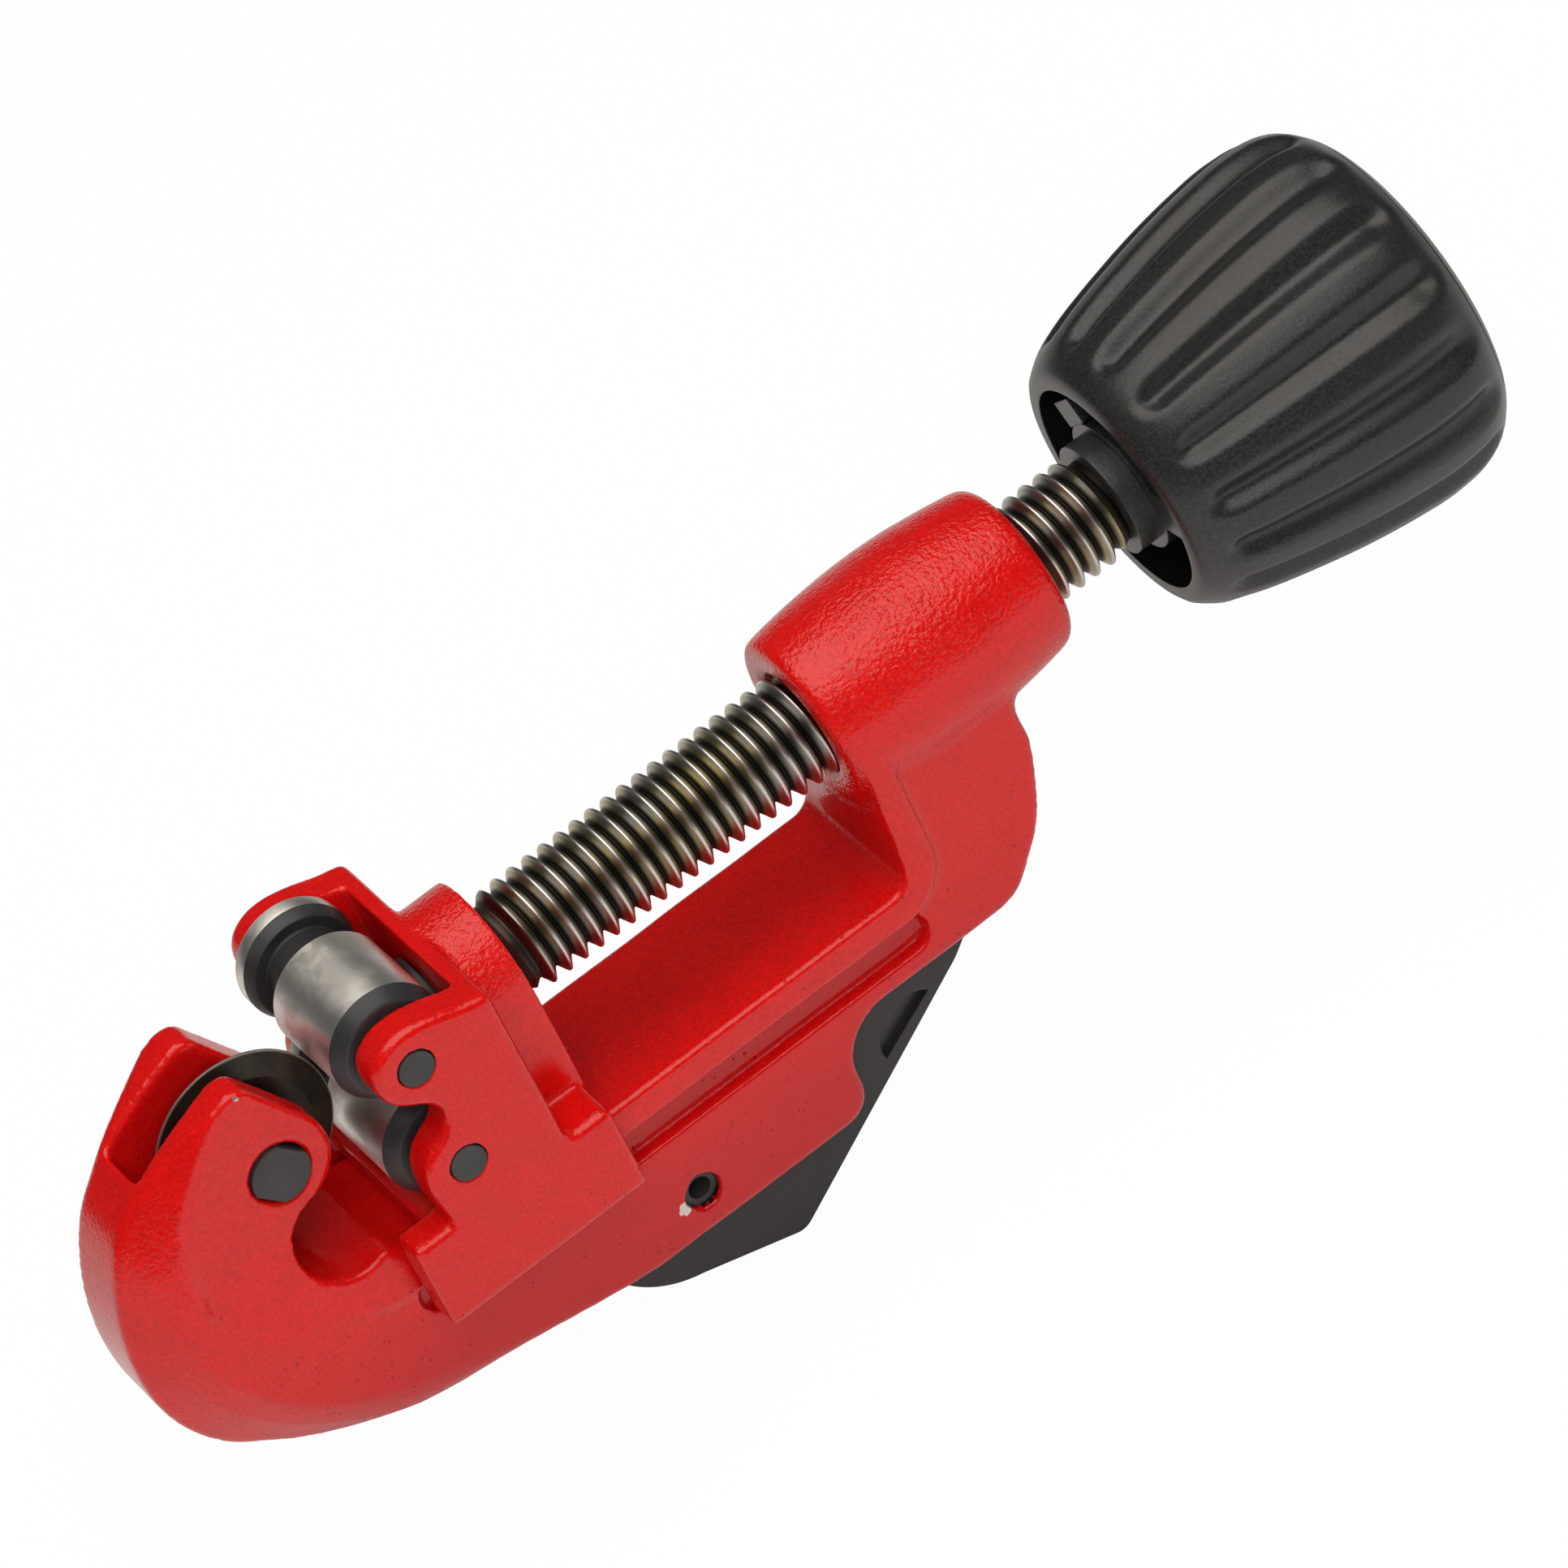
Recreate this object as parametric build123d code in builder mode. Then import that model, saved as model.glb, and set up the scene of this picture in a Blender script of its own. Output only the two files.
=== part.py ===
# Pipe cutter: a die-cast C frame with a cutting wheel in its head, a roller
# carriage that slides on the frame's rail, a feed screw with a fluted knob,
# and a deburrer that folds out of the spine.
# Millimetres. +X runs along the screw towards the knob, +Z is the open side
# of the C, and the origin is the cutting point, where the wheel's edge
# meets the screw axis in the middle plane.
import os
from math import cos, radians, sin, sqrt

from build123d import *

os.makedirs("parts", exist_ok=True)

# ---------------------------------------------------------------- sizes
running = 0.05          # radial clearance of a turning fit
seat = 0.02             # radial clearance of a fixed pin in its hole
side_gap = 0.3          # gap beside a sliding or turning piece

# cutting wheel and its axle
wheel_radius = 10.0
wheel_edge = 0.1        # half width of the cutting edge
wheel_shoulder = 7.4    # radius at which the ground bevel starts
wheel_hub_radius = 5.2
wheel_hub_half = 3.0
wheel_web_half = 0.9
axle_radius = 3.3
axle_flat = 2.8         # distance of each flat from the axle's centre
axle_flat_turn = 40.0   # the flats face up and towards the knob
axle_proud = 0.15
clip_thickness = 0.7
clip_radius = 5.0
clip_groove_depth = 0.7
clip_opening = 2.6      # width of the clip's mouth
clip_margin = 0.8       # axle left standing beyond the clip

# frame: side faces are given as half widths from the middle plane
plate_half = 9.2
band_half = 10.2
head_half = 7.7
plate_round = 0.8       # rounds along the edges of the plate and of the band
band_round = 0.5
rim_slope = 1.2         # of the bevel on the outer rim of the bend, inwards per sideways
head_radius = 5.9       # round end of the head, about the axle
throat_radius = 5.3
throat_turn = 79.0      # degrees below the screw axis at which the throat starts
beak_height = 12.0
rail_depth = 17.6       # rail surface below the screw axis
band_width = 4.0
inner_face = 70.4       # inner face of the C at its knob end, from the wheel's axle
inner_corner = 2.4
spine_depth = 39.8
web_reach = 89.1        # outer edge of the web, from the wheel's axle
notch_reach = 57.0      # thumb notch for the deburrer, from the wheel's axle
notch_depth = 28.7      # top of the thumb notch below the screw axis
notch_radius = 6.3
boss_length = 29.0
boss_radius = 10.95
boss_start_radius = 9.7
boss_start_round = 1.2
boss_end_radius = 9.4
boss_end_round = 2.0
boss_root_round = 2.5
groove_start = 5.6      # both ends of the groove, from the wheel's axle
groove_stop = 70.6
groove_top = 21.5       # below the screw axis
groove_height = 4.5
groove_depth = 1.8
slot_half = 3.3
slot_radius = 11.6      # the slot clears the wheel all round
slot_back = 12.2        # the slot's end at the rim, behind the axle
recess_depth = 7.2      # below the screw axis, where the head's flat ends
recess_reach = 13.0     # from the wheel's axle to the end of the head's flat sides
recess_round = 3.0      # soft root of the step beside the head

# deburrer and the pocket it folds into
pivot_reach = 36.7      # from the wheel's axle
pivot_z = -34.6
pivot_radius = 2.0
pivot_bore = 1.3
pivot_recess = 1.0
reamer_half = 4.7
reamer_heel = 13.3      # heel of the holder, round about the pivot
reamer_reach = 40.3     # from the pivot to the tip of the holder
reamer_drop = 16.4      # from the pivot down to the holder's corner
blade_thickness = 2.0
blade_gap = 0.1         # around the blade in its slot
nick_reach = 28.4       # from the pivot to the middle of the nail nicks' straight side
nick_drop = 2.5
nick_turn = 30.0
nick_length = 8.4
nick_width = 3.0
nick_depth = 0.9        # of the nail nicks at their straight side
rivet_radius = 1.5
pocket_half = reamer_half + side_gap
pocket_roof = 21.0

# carriage
roller_reach = 15.5     # from the wheel's axle to the rollers' axes
roller_spacing = 13.9
roller_radius = 6.4
roller_length = 21.4
roller_groove_near = 2.6    # both sides of the roller's groove, off the middle plane
roller_groove_far = 8.7
roller_groove_depth = 2.0
roller_groove_chamfer = 1.3
roller_chamfer = 1.1
roller_pin_radius = 2.0
cheek_inside = roller_length / 2 + side_gap
cheek_thickness = 4.4
carriage_half = cheek_inside + cheek_thickness
cheek_round = 1.0       # rounds along the edges of the carriage's sides
wall_reach = 25.6       # back of the wall, from the wheel's axle
wall_thickness = 2.1
wall_top = 9.3          # above the screw axis
skirt_reach = 6.2       # near end of the skirt, from the wheel's axle
skirt_length = 24.6
skirt_top = 12.5        # below the screw axis
skirt_bottom = 23.6
floor_thickness = 3.2
floor_setback = 3.4     # of the floor behind the skirt's end, clear of the throat
lip_inside = 8.7        # half distance between the lips that run in the grooves
lip_setback = 2.4       # of the lips behind the skirt's end
rib_half = 9.0
rib_length = 5.6

# screw
screw_radius = 6.0
journal_radius = 4.0
shoulder_radius = 5.2
shoulder_length = 2.0
ring_thickness = 0.6
ring_radius = 5.4
ring_groove_depth = 0.8
ring_opening = 2.4
thread_length = 76.0
thread_pitch = 2.0
thread_depth = 1.1
thread_crest = 0.4      # width of the thread's crest and of its root
shank_radius = 4.4
shank_flat = 3.6
shank_short = 0.1       # the shank ends just inside the knob's deck

# knob
knob_length = 41.1
knob_rim_radius = 14.3
knob_radius = 21.3
knob_mouth_radius = 12.3
knob_wall = 2.4
mouth_depth = 1.0
flute_count = 16
flute_phase = 7.5       # degrees from the near side
flute_depth = 1.25
flute_start = 1.6       # from the rim to the first of each flute
flute_stop = 34.4
flute_rise = 1.6        # height of the cutter above the knob at both ends of a flute
cap_joint = 35.0        # from the rim to the joint with the cap
cap_lip = 1.6           # spigot of the cap inside the knob
bush_radius = 6.6
bush_standout = 2.0     # of the bush before the knob's rim
bush_length = 20.0
hub_radius = 7.7
hub_recess = 0.6        # of the hub behind the knob's rim
hub_ribs = 3
hub_rib_width = 5.0
hub_rib_radius = 10.6
hub_rib_turn = 55.0     # degrees about the screw axis
deck_reach = 25.0       # from the rim to the deck that carries the screw
deck_thickness = 2.6
knob_screw_radius = 2.5
knob_screw_depth = 12.0
knob_screw_head = 4.4
knob_screw_head_height = 2.6
knob_screw_hex = 1.9
washer_radius = 6.4
washer_thickness = 1.0
spare_gap = 0.4         # between the spare wheel and the screw's head
spigot_radius = axle_radius

# ---------------------------------------------------------------- places
axle_x = -wheel_radius
roller_x = axle_x + roller_reach
roller_z = roller_spacing / 2
rail_right = axle_x + inner_face
boss_left = rail_right
boss_right = boss_left + boss_length
web_right = axle_x + web_reach
notch_left = axle_x + notch_reach
groove_left = axle_x + groove_start
groove_right = axle_x + groove_stop
pivot_x = axle_x + pivot_reach
wall_back = axle_x + wall_reach
wall_front = wall_back - wall_thickness
rib_back = wall_back + rib_length
skirt_left = axle_x + skirt_reach
shoulder_left = rib_back + side_gap
thread_left = shoulder_left + shoulder_length
thread_right = thread_left + thread_length
ring_right = wall_front - side_gap
ring_left = ring_right - ring_thickness
journal_left = ring_left - ring_thickness
knob_left = thread_right + bush_standout
knob_right = knob_left + knob_length
bush_left = thread_right + seat
deck_left = knob_left + deck_reach
deck_right = deck_left + deck_thickness
shank_right = deck_right - shank_short
washer_left = deck_right + seat
screw_head_left = washer_left + washer_thickness
cap_left = knob_left + cap_joint
spare_left = screw_head_left + knob_screw_head_height + spare_gap
spare_right = spare_left + 2 * wheel_hub_half
store_radius = knob_radius - 2 * knob_wall
band_bottom = -rail_depth - band_width


def cross_line(x, z):
    """A line across the tool, parallel to the wheel's axle."""
    return Axis((x, 0, z), (0, 1, 0))


def along(x):
    """A plane across the screw axis at x, its normal towards the knob."""
    return Plane((x, 0, 0), x_dir=(0, 1, 0), z_dir=(1, 0, 0))


def from_side(y):
    """A plane parallel to the middle plane at y, its normal away from the viewer's side."""
    return Plane((0, y, 0), x_dir=(1, 0, 0), z_dir=(0, -1, 0))


def on_circle(centre, radius, angle):
    """The point of a circle at an angle in degrees."""
    return (centre[0] + radius * cos(radians(angle)), centre[1] + radius * sin(radians(angle)))


def side_edges(builder, half):
    """The edges that bound a builder's flat sides at a half width."""
    return [
        edge
        for edge in builder.edges()
        if abs(abs(edge.bounding_box().min.Y) - half) < seat
        and abs(abs(edge.bounding_box().max.Y) - half) < seat
    ]


# ---------------------------------------------------------------- frame
head_centre = (axle_x + 0.3, 0.4)
throat_centre = on_circle(head_centre, head_radius + throat_radius, -throat_turn)
tip_inner = (axle_x + 0.9, beak_height - 0.6)
tip_outer = (axle_x - 0.9, beak_height)
head_leave = 30.0       # angle at which the beak's straight inner side leaves the head

# the rim of the bend, each point with the half width at which its bevel starts
rim = [
    (tip_outer, 8.2),
    ((axle_x - 7.2, 9.5), 6.0),
    ((axle_x - 14.0, 5.4), 4.2),
    ((axle_x - 19.1, -2.6), 4.2),
    ((axle_x - 21.5, -13.0), 4.2),
    ((axle_x - 19.3, -24.2), 4.2),
    ((axle_x - 9.4, -32.8), 5.6),
    ((axle_x + 8.0, -36.5), 9.4),
    ((axle_x + 28.0, -39.1), 12.0),
    ((notch_left - 8.0, -spine_depth), 14.0),
]
rim_points = [point for point, crease in rim]
belly_end = rim_points[-1]


def pushed(amounts):
    """The rim's points moved into the casting by the amounts."""
    moved = []
    for i, (x, z) in enumerate(rim_points):
        before = rim_points[max(i - 1, 0)]
        after = rim_points[min(i + 1, len(rim_points) - 1)]
        run = (after[0] - before[0], after[1] - before[1])
        length = sqrt(run[0] ** 2 + run[1] ** 2)
        moved.append((x - run[1] / length * amounts[i], z + run[0] / length * amounts[i]))
    return moved


def bevel_section(half):
    """What the bevel leaves out at a half width: all that lies outside its line."""
    line = pushed([(half - crease) * rim_slope for point, crease in rim])
    far = 2 * spine_depth
    with BuildSketch(from_side(-half)) as section:
        with BuildLine():
            Spline(*line)
            Polyline(
                line[-1],
                (line[-1][0], -far),
                (-far, -far),
                (-far, far),
                (line[0][0], far),
                line[0],
            )
        make_face()
    return section.sketch


with BuildSketch(Plane.XZ) as c_outline:
    with BuildLine():
        Spline(*rim_points)
        FilletPolyline(
            belly_end,
            (notch_left, -spine_depth),
            (notch_left, -notch_depth),
            (web_right - 9.4, -notch_depth),
            (web_right - 3.6, -22.2),
            (web_right - 0.8, -13.5),
            (web_right, -6.0),
            (web_right, 0),
            radius=[3.4, notch_radius, 5.0, 14.0, 30.0, 30.0],
        )
        Line((web_right, 0), (boss_left + 1.2, 0))
        FilletPolyline(
            (boss_left + 1.2, 0),
            (rail_right, -rail_depth),
            (axle_x + 8.5, -rail_depth),
            on_circle(throat_centre, throat_radius, -62),
            radius=[inner_corner, 6.0],
        )
        ThreePointArc(
            on_circle(throat_centre, throat_radius, -62),
            on_circle(throat_centre, throat_radius, 190),
            on_circle(throat_centre, throat_radius, 180 - throat_turn),
        )
        ThreePointArc(
            on_circle(head_centre, head_radius, -throat_turn),
            on_circle(head_centre, head_radius, -20),
            on_circle(head_centre, head_radius, head_leave),
        )
        Polyline(on_circle(head_centre, head_radius, head_leave), tip_inner, tip_outer)
    make_face()

# the band is the flange that the carriage slides along, proud of the plate
with BuildSketch(Plane.XZ) as band_outline:
    with BuildLine():
        FilletPolyline(
            (rail_right + band_width, 0),
            (rail_right + band_width, band_bottom),
            (axle_x + 4.0, band_bottom),
            (axle_x - 3.4, -18.6),
            (axle_x - 10.0, -12.6),
            (axle_x - 12.0, -recess_depth),
            radius=[inner_corner + band_width, 12.0, 9.0, 6.0],
        )
        Polyline(
            (axle_x - 12.0, -recess_depth),
            (axle_x + 9.0, -recess_depth),
            (axle_x + 9.0, 0),
            (rail_right + band_width, 0),
        )
    make_face()

with BuildPart() as band:
    extrude(c_outline.sketch, amount=band_half, both=True)
    extrude(band_outline.sketch, amount=band_half, both=True, mode=Mode.INTERSECT)
    fillet(side_edges(band, band_half), band_round)

# the head is thinner than the spine: this is what each side of it leaves out
with BuildSketch(Plane.XZ) as recess_outline:
    with BuildLine():
        Spline(
            (axle_x + recess_reach, -23.2),
            (axle_x + 5.3, -23.0),
            (axle_x - 3.1, -21.6),
            (axle_x - 8.2, -18.9),
            (axle_x - 12.2, -14.5),
            (axle_x - 14.3, -7.5),
            (axle_x - 14.2, 0.5),
            (axle_x - 15.0, 10.0),
            (axle_x - 16.0, 2 * beak_height),
            tangents=[(-1, 0), (0, 1)],
        )
        Polyline(
            (axle_x - 16.0, 2 * beak_height),
            (axle_x + recess_reach, 2 * beak_height),
            (axle_x + recess_reach, -23.2),
        )
    make_face()
recess_end = axle_x - 2 * recess_reach
with BuildPart() as near_recess:
    extrude(recess_outline.sketch, amount=2 * band_half)
    with BuildSketch(Plane.YZ.offset(recess_end)):
        with BuildLine():
            Polyline(
                (-head_half, 2 * beak_height),
                (-head_half, -recess_depth),
                (-plate_half, -rail_depth),
                (-2 * plate_half + head_half, -2 * rail_depth + recess_depth),
                (-2 * band_half, -2 * rail_depth + recess_depth),
                (-2 * band_half, 2 * beak_height),
                close=True,
            )
        make_face()
    extrude(amount=4 * recess_reach, mode=Mode.INTERSECT)
    root = [
        edge
        for edge in near_recess.edges()
        if edge.geom_type != GeomType.LINE and edge.bounding_box().max.Y > -1.5 * band_half
    ]
    fillet(root, recess_round)

# the rim of the bend is bevelled on both sides: this is what the near one leaves out
with BuildPart() as near_bevel:
    loft([bevel_section(3.0), bevel_section(band_half + 2)], ruled=True)

with BuildPart() as frame_casting:
    extrude(c_outline.sketch, amount=plate_half, both=True)
    fillet(side_edges(frame_casting, plate_half), plate_round)
    add(near_bevel.part, mode=Mode.SUBTRACT)
    add(mirror(near_bevel.part, about=Plane.XZ), mode=Mode.SUBTRACT)
    add(band.part)
    add(near_recess.part, mode=Mode.SUBTRACT)
    add(mirror(near_recess.part, about=Plane.XZ), mode=Mode.SUBTRACT)
    # boss for the screw
    with BuildSketch(Plane.XZ):
        with BuildLine():
            Polyline(
                (boss_right, 0),
                (boss_left, 0),
                (boss_left, boss_start_radius),
            )
            ThreePointArc(
                (boss_left, boss_start_radius),
                (boss_left + boss_length * 0.5, boss_radius),
                (boss_right, boss_end_radius),
            )
            Line((boss_right, boss_end_radius), (boss_right, 0))
        make_face()
        shoulders = vertices().sort_by(Axis.Y)[-2:].sort_by(Axis.X)
        fillet(shoulders[0], boss_start_round)
        fillet(vertices().sort_by(Axis.X)[-2:].sort_by(Axis.Y)[-1], boss_end_round)
    revolve(axis=Axis.X)
    # soft roots of the boss on both sides of the web
    boss_roots = [
        edge
        for edge in edges()
        if edge.length > boss_radius
        and boss_left < edge.bounding_box().min.X
        and edge.bounding_box().max.X < boss_right
        and -boss_radius < edge.center().Z < -boss_radius / 3
        and abs(abs(edge.center().Y) - plate_half) < seat
    ]
    fillet(boss_roots, boss_root_round)
    # bore of the feed screw
    with Locations(along(boss_left - 5)):
        Cylinder(
            screw_radius + running,
            boss_length + 10,
            align=(Align.CENTER, Align.CENTER, Align.MIN),
            mode=Mode.SUBTRACT,
        )
    # slot of the cutting wheel, open at the beak
    with BuildSketch(Plane.XZ):
        with Locations((axle_x, 0)):
            Circle(slot_radius)
            Rectangle(
                slot_back + slot_radius,
                2 * beak_height,
                align=(Align.MIN, Align.MIN),
                mode=Mode.ADD,
            )
            with Locations((-slot_back, 0)):
                Rectangle(2 * slot_back, 2 * beak_height, align=(Align.MIN, Align.MIN))
    extrude(amount=slot_half, both=True, mode=Mode.SUBTRACT)
    # hole of the wheel's axle
    with Locations(Plane.XZ.shift_origin((axle_x, 0, 0))):
        Cylinder(axle_radius + seat, 4 * plate_half, mode=Mode.SUBTRACT)
    # the grooves that the carriage's lips run in
    with BuildSketch(Plane.XZ.offset(plate_half - groove_depth)):
        with Locations(((groove_left + groove_right) / 2, -groove_top - groove_height / 2)):
            SlotOverall(groove_right - groove_left, groove_height)
    extrude(amount=band_half, mode=Mode.SUBTRACT)
    with BuildSketch(Plane.XZ.offset(-(plate_half - groove_depth))):
        with Locations(((groove_left + groove_right) / 2, -groove_top - groove_height / 2)):
            SlotOverall(groove_right - groove_left, groove_height)
    extrude(amount=-band_half, mode=Mode.SUBTRACT)
    # pocket of the deburrer and the hole of its pivot
    with BuildSketch(Plane.XZ):
        with Locations((pivot_x, pivot_z)):
            Circle(-pivot_z - pocket_roof)
        with Locations((pivot_x, -pocket_roof)):
            Rectangle(reamer_reach + 2 * side_gap, 2 * spine_depth, align=(Align.MIN, Align.MAX))
    extrude(amount=pocket_half, both=True, mode=Mode.SUBTRACT)
    with Locations(Plane.XZ.shift_origin((pivot_x, 0, pivot_z))):
        Cylinder(pivot_radius + seat, 4 * plate_half, mode=Mode.SUBTRACT)
frame_casting.part.label = "frame_casting"
export_step(frame_casting.part, "parts/frame_casting.step")

# ---------------------------------------------------------------- wheel and axle
with BuildPart() as cutting_wheel:
    with BuildSketch(Plane.XY):
        with BuildLine():
            Polyline(
                (axle_x + axle_radius + running, -wheel_hub_half),
                (axle_x + wheel_hub_radius, -wheel_hub_half),
                (axle_x + wheel_hub_radius, -wheel_web_half),
                (axle_x + wheel_shoulder, -wheel_web_half),
                (axle_x + wheel_radius, -wheel_edge),
                (axle_x + wheel_radius, wheel_edge),
                (axle_x + wheel_shoulder, wheel_web_half),
                (axle_x + wheel_hub_radius, wheel_web_half),
                (axle_x + wheel_hub_radius, wheel_hub_half),
                (axle_x + axle_radius + running, wheel_hub_half),
                close=True,
            )
        make_face()
    revolve(axis=cross_line(axle_x, 0))
cutting_wheel.part.label = "cutting_wheel"
export_step(cutting_wheel.part, "parts/cutting_wheel.step")

axle_near = -head_half - axle_proud
clip_near = head_half + 2 * running
axle_far = clip_near + clip_thickness + 2 * running + clip_margin
with BuildPart() as wheel_axle:
    with BuildSketch(from_side(axle_near)):
        with Locations((axle_x, 0)):
            Circle(axle_radius)
            Rectangle(
                2 * axle_flat,
                3 * axle_radius,
                rotation=axle_flat_turn,
                mode=Mode.INTERSECT,
            )
    extrude(amount=axle_near - axle_far)
    with BuildSketch(from_side(clip_near + running)):
        with Locations((axle_x, 0)):
            Circle(2 * axle_radius)
            Circle(axle_radius - clip_groove_depth, mode=Mode.SUBTRACT)
    extrude(amount=-clip_thickness - running, mode=Mode.SUBTRACT)
wheel_axle.part.label = "wheel_axle"
export_step(wheel_axle.part, "parts/wheel_axle.step")

with BuildPart() as axle_clip:
    with BuildSketch(from_side(clip_near + running)):
        with Locations((axle_x, 0)):
            Circle(clip_radius)
            Circle(axle_radius - clip_groove_depth + seat, mode=Mode.SUBTRACT)
            Rectangle(
                clip_opening,
                2 * clip_radius,
                align=(Align.CENTER, Align.MAX),
                mode=Mode.SUBTRACT,
            )
    extrude(amount=-clip_thickness)
axle_clip.part.label = "axle_clip"
export_step(axle_clip.part, "parts/axle_clip.step")

# ---------------------------------------------------------------- carriage
upper_pin = (roller_x, roller_z)
lower_pin = (roller_x, -roller_z)
with BuildSketch(Plane.XZ) as cheek_outline:
    with BuildLine():
        Spline(
            (roller_x - 4.5, -skirt_top - 1.5),
            (roller_x - 4.6, -10.6),
            (roller_x - 4.7, -6.6),
            (roller_x - 2.9, -3.4),
            (roller_x - 0.9, -2.2),
            (roller_x + 0.2, -0.6),
            (roller_x - 0.5, 1.6),
            (roller_x - 3.3, 3.8),
            (roller_x - 4.6, 6.8),
            (roller_x - 3.9, 9.6),
            (roller_x - 1.6, 11.2),
            (roller_x + 2.4, 11.2),
            (roller_x + 6.9, wall_top + 0.4),
        )
        Polyline(
            (roller_x + 6.9, wall_top + 0.4),
            (wall_back, wall_top - 0.4),
            (wall_back, -skirt_top - 1.5),
            (roller_x - 4.5, -skirt_top - 1.5),
        )
    make_face()

with BuildPart() as carriage:
    # skirt, floor and the lips in the frame's grooves
    with BuildSketch(along(skirt_left)):
        with Locations((0, -skirt_top)):
            Rectangle(
                2 * carriage_half,
                skirt_bottom - skirt_top,
                align=(Align.CENTER, Align.MAX),
            )
        with Locations((0, -rail_depth + side_gap)):
            Rectangle(
                2 * (band_half + side_gap),
                spine_depth,
                align=(Align.CENTER, Align.MAX),
                mode=Mode.SUBTRACT,
            )
    extrude(amount=skirt_length)
    with BuildSketch(along(skirt_left)):
        Rectangle(2 * (band_half + side_gap), spine_depth)
    extrude(amount=floor_setback, mode=Mode.SUBTRACT)
    for side in (-1, 1):
        with BuildSketch(along(skirt_left + lip_setback)):
            with Locations((side * (lip_inside + carriage_half) / 2, -groove_top - side_gap)):
                Rectangle(
                    carriage_half - lip_inside,
                    skirt_bottom - groove_top - side_gap,
                    align=(Align.CENTER, Align.MAX),
                )
        extrude(amount=skirt_length - lip_setback)
    # cheeks
    extrude(cheek_outline.sketch, amount=carriage_half, both=True)
    fillet(side_edges(carriage, carriage_half), cheek_round)
    # the rollers' bay between the cheeks
    with BuildSketch(Plane.XZ):
        with Locations((wall_front, -rail_depth + side_gap + floor_thickness)):
            Rectangle(carriage_half * 4, carriage_half * 4, align=(Align.MAX, Align.MIN))
    extrude(amount=cheek_inside, both=True, mode=Mode.SUBTRACT)
    # rib that carries the end of the screw
    with BuildSketch(along(wall_front)):
        Circle(rib_half)
        with Locations((0, -skirt_top)):
            Rectangle(2 * rib_half, skirt_top, align=(Align.CENTER, Align.MIN))
        with Locations((0, -rail_depth + side_gap)):
            Rectangle(
                2 * rib_half,
                rail_depth - side_gap,
                align=(Align.CENTER, Align.MIN),
            )
    extrude(amount=rib_back - wall_front)
    # bores of the screw's journal and of the roller pins
    with Locations(along(wall_front - 1)):
        Cylinder(
            journal_radius + running,
            rib_length + 20,
            align=(Align.CENTER, Align.CENTER, Align.MIN),
            mode=Mode.SUBTRACT,
        )
    for pin in (upper_pin, lower_pin):
        with Locations(Plane.XZ.shift_origin((pin[0], 0, pin[1]))):
            Cylinder(roller_pin_radius + seat, 4 * carriage_half, mode=Mode.SUBTRACT)
carriage.part.label = "carriage"
export_step(carriage.part, "parts/carriage.step")


# ---------------------------------------------------------------- rollers
def roller(x, z):
    """A grooved roller with chamfered ends, running about a line across the tool."""
    half = roller_length / 2
    outer = x + roller_radius
    groove_floor = outer - roller_groove_depth
    groove_lip = outer - roller_groove_chamfer / 2
    with BuildPart() as turned:
        with BuildSketch(Plane.XY.offset(z)):
            with BuildLine():
                Polyline(
                    (x + roller_pin_radius + running, -half),
                    (outer - roller_chamfer, -half),
                    (outer, -half + roller_chamfer),
                    (outer, roller_groove_near),
                    (groove_floor, roller_groove_near),
                    (groove_floor, roller_groove_far - roller_groove_chamfer),
                    (groove_lip, roller_groove_far - roller_groove_chamfer),
                    (outer, roller_groove_far),
                    (outer, half - roller_chamfer),
                    (outer - roller_chamfer, half),
                    (x + roller_pin_radius + running, half),
                    close=True,
                )
            make_face()
        revolve(axis=cross_line(x, z))
    return turned.part


def roller_pin(x, z):
    """A pin through both cheeks, flush with them."""
    with BuildPart() as turned:
        with Locations(Plane.XZ.shift_origin((x, 0, z))):
            Cylinder(roller_pin_radius, 2 * carriage_half - 2 * seat)
    return turned.part


upper_roller = roller(*upper_pin)
upper_roller.label = "upper_roller"
export_step(upper_roller, "parts/upper_roller.step")
lower_roller = roller(*lower_pin)
lower_roller.label = "lower_roller"
export_step(lower_roller, "parts/lower_roller.step")
upper_roller_pin = roller_pin(*upper_pin)
upper_roller_pin.label = "upper_roller_pin"
export_step(upper_roller_pin, "parts/upper_roller_pin.step")
lower_roller_pin = roller_pin(*lower_pin)
lower_roller_pin.label = "lower_roller_pin"
export_step(lower_roller_pin, "parts/lower_roller_pin.step")

# ---------------------------------------------------------------- feed screw
# the thread's relief, turned: one ring of crest, flank and root for each pitch
thread_root = screw_radius - thread_depth
relief = []
for ring in range(int(thread_length / thread_pitch)):
    crest_left = thread_left + ring * thread_pitch + thread_pitch / 2 - thread_crest / 2
    relief.append((crest_left, screw_radius))
    relief.append((crest_left + thread_crest, screw_radius))
    relief.append((crest_left + thread_pitch / 2, thread_root))
    relief.append((crest_left + thread_pitch / 2 + thread_crest, thread_root))

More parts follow.
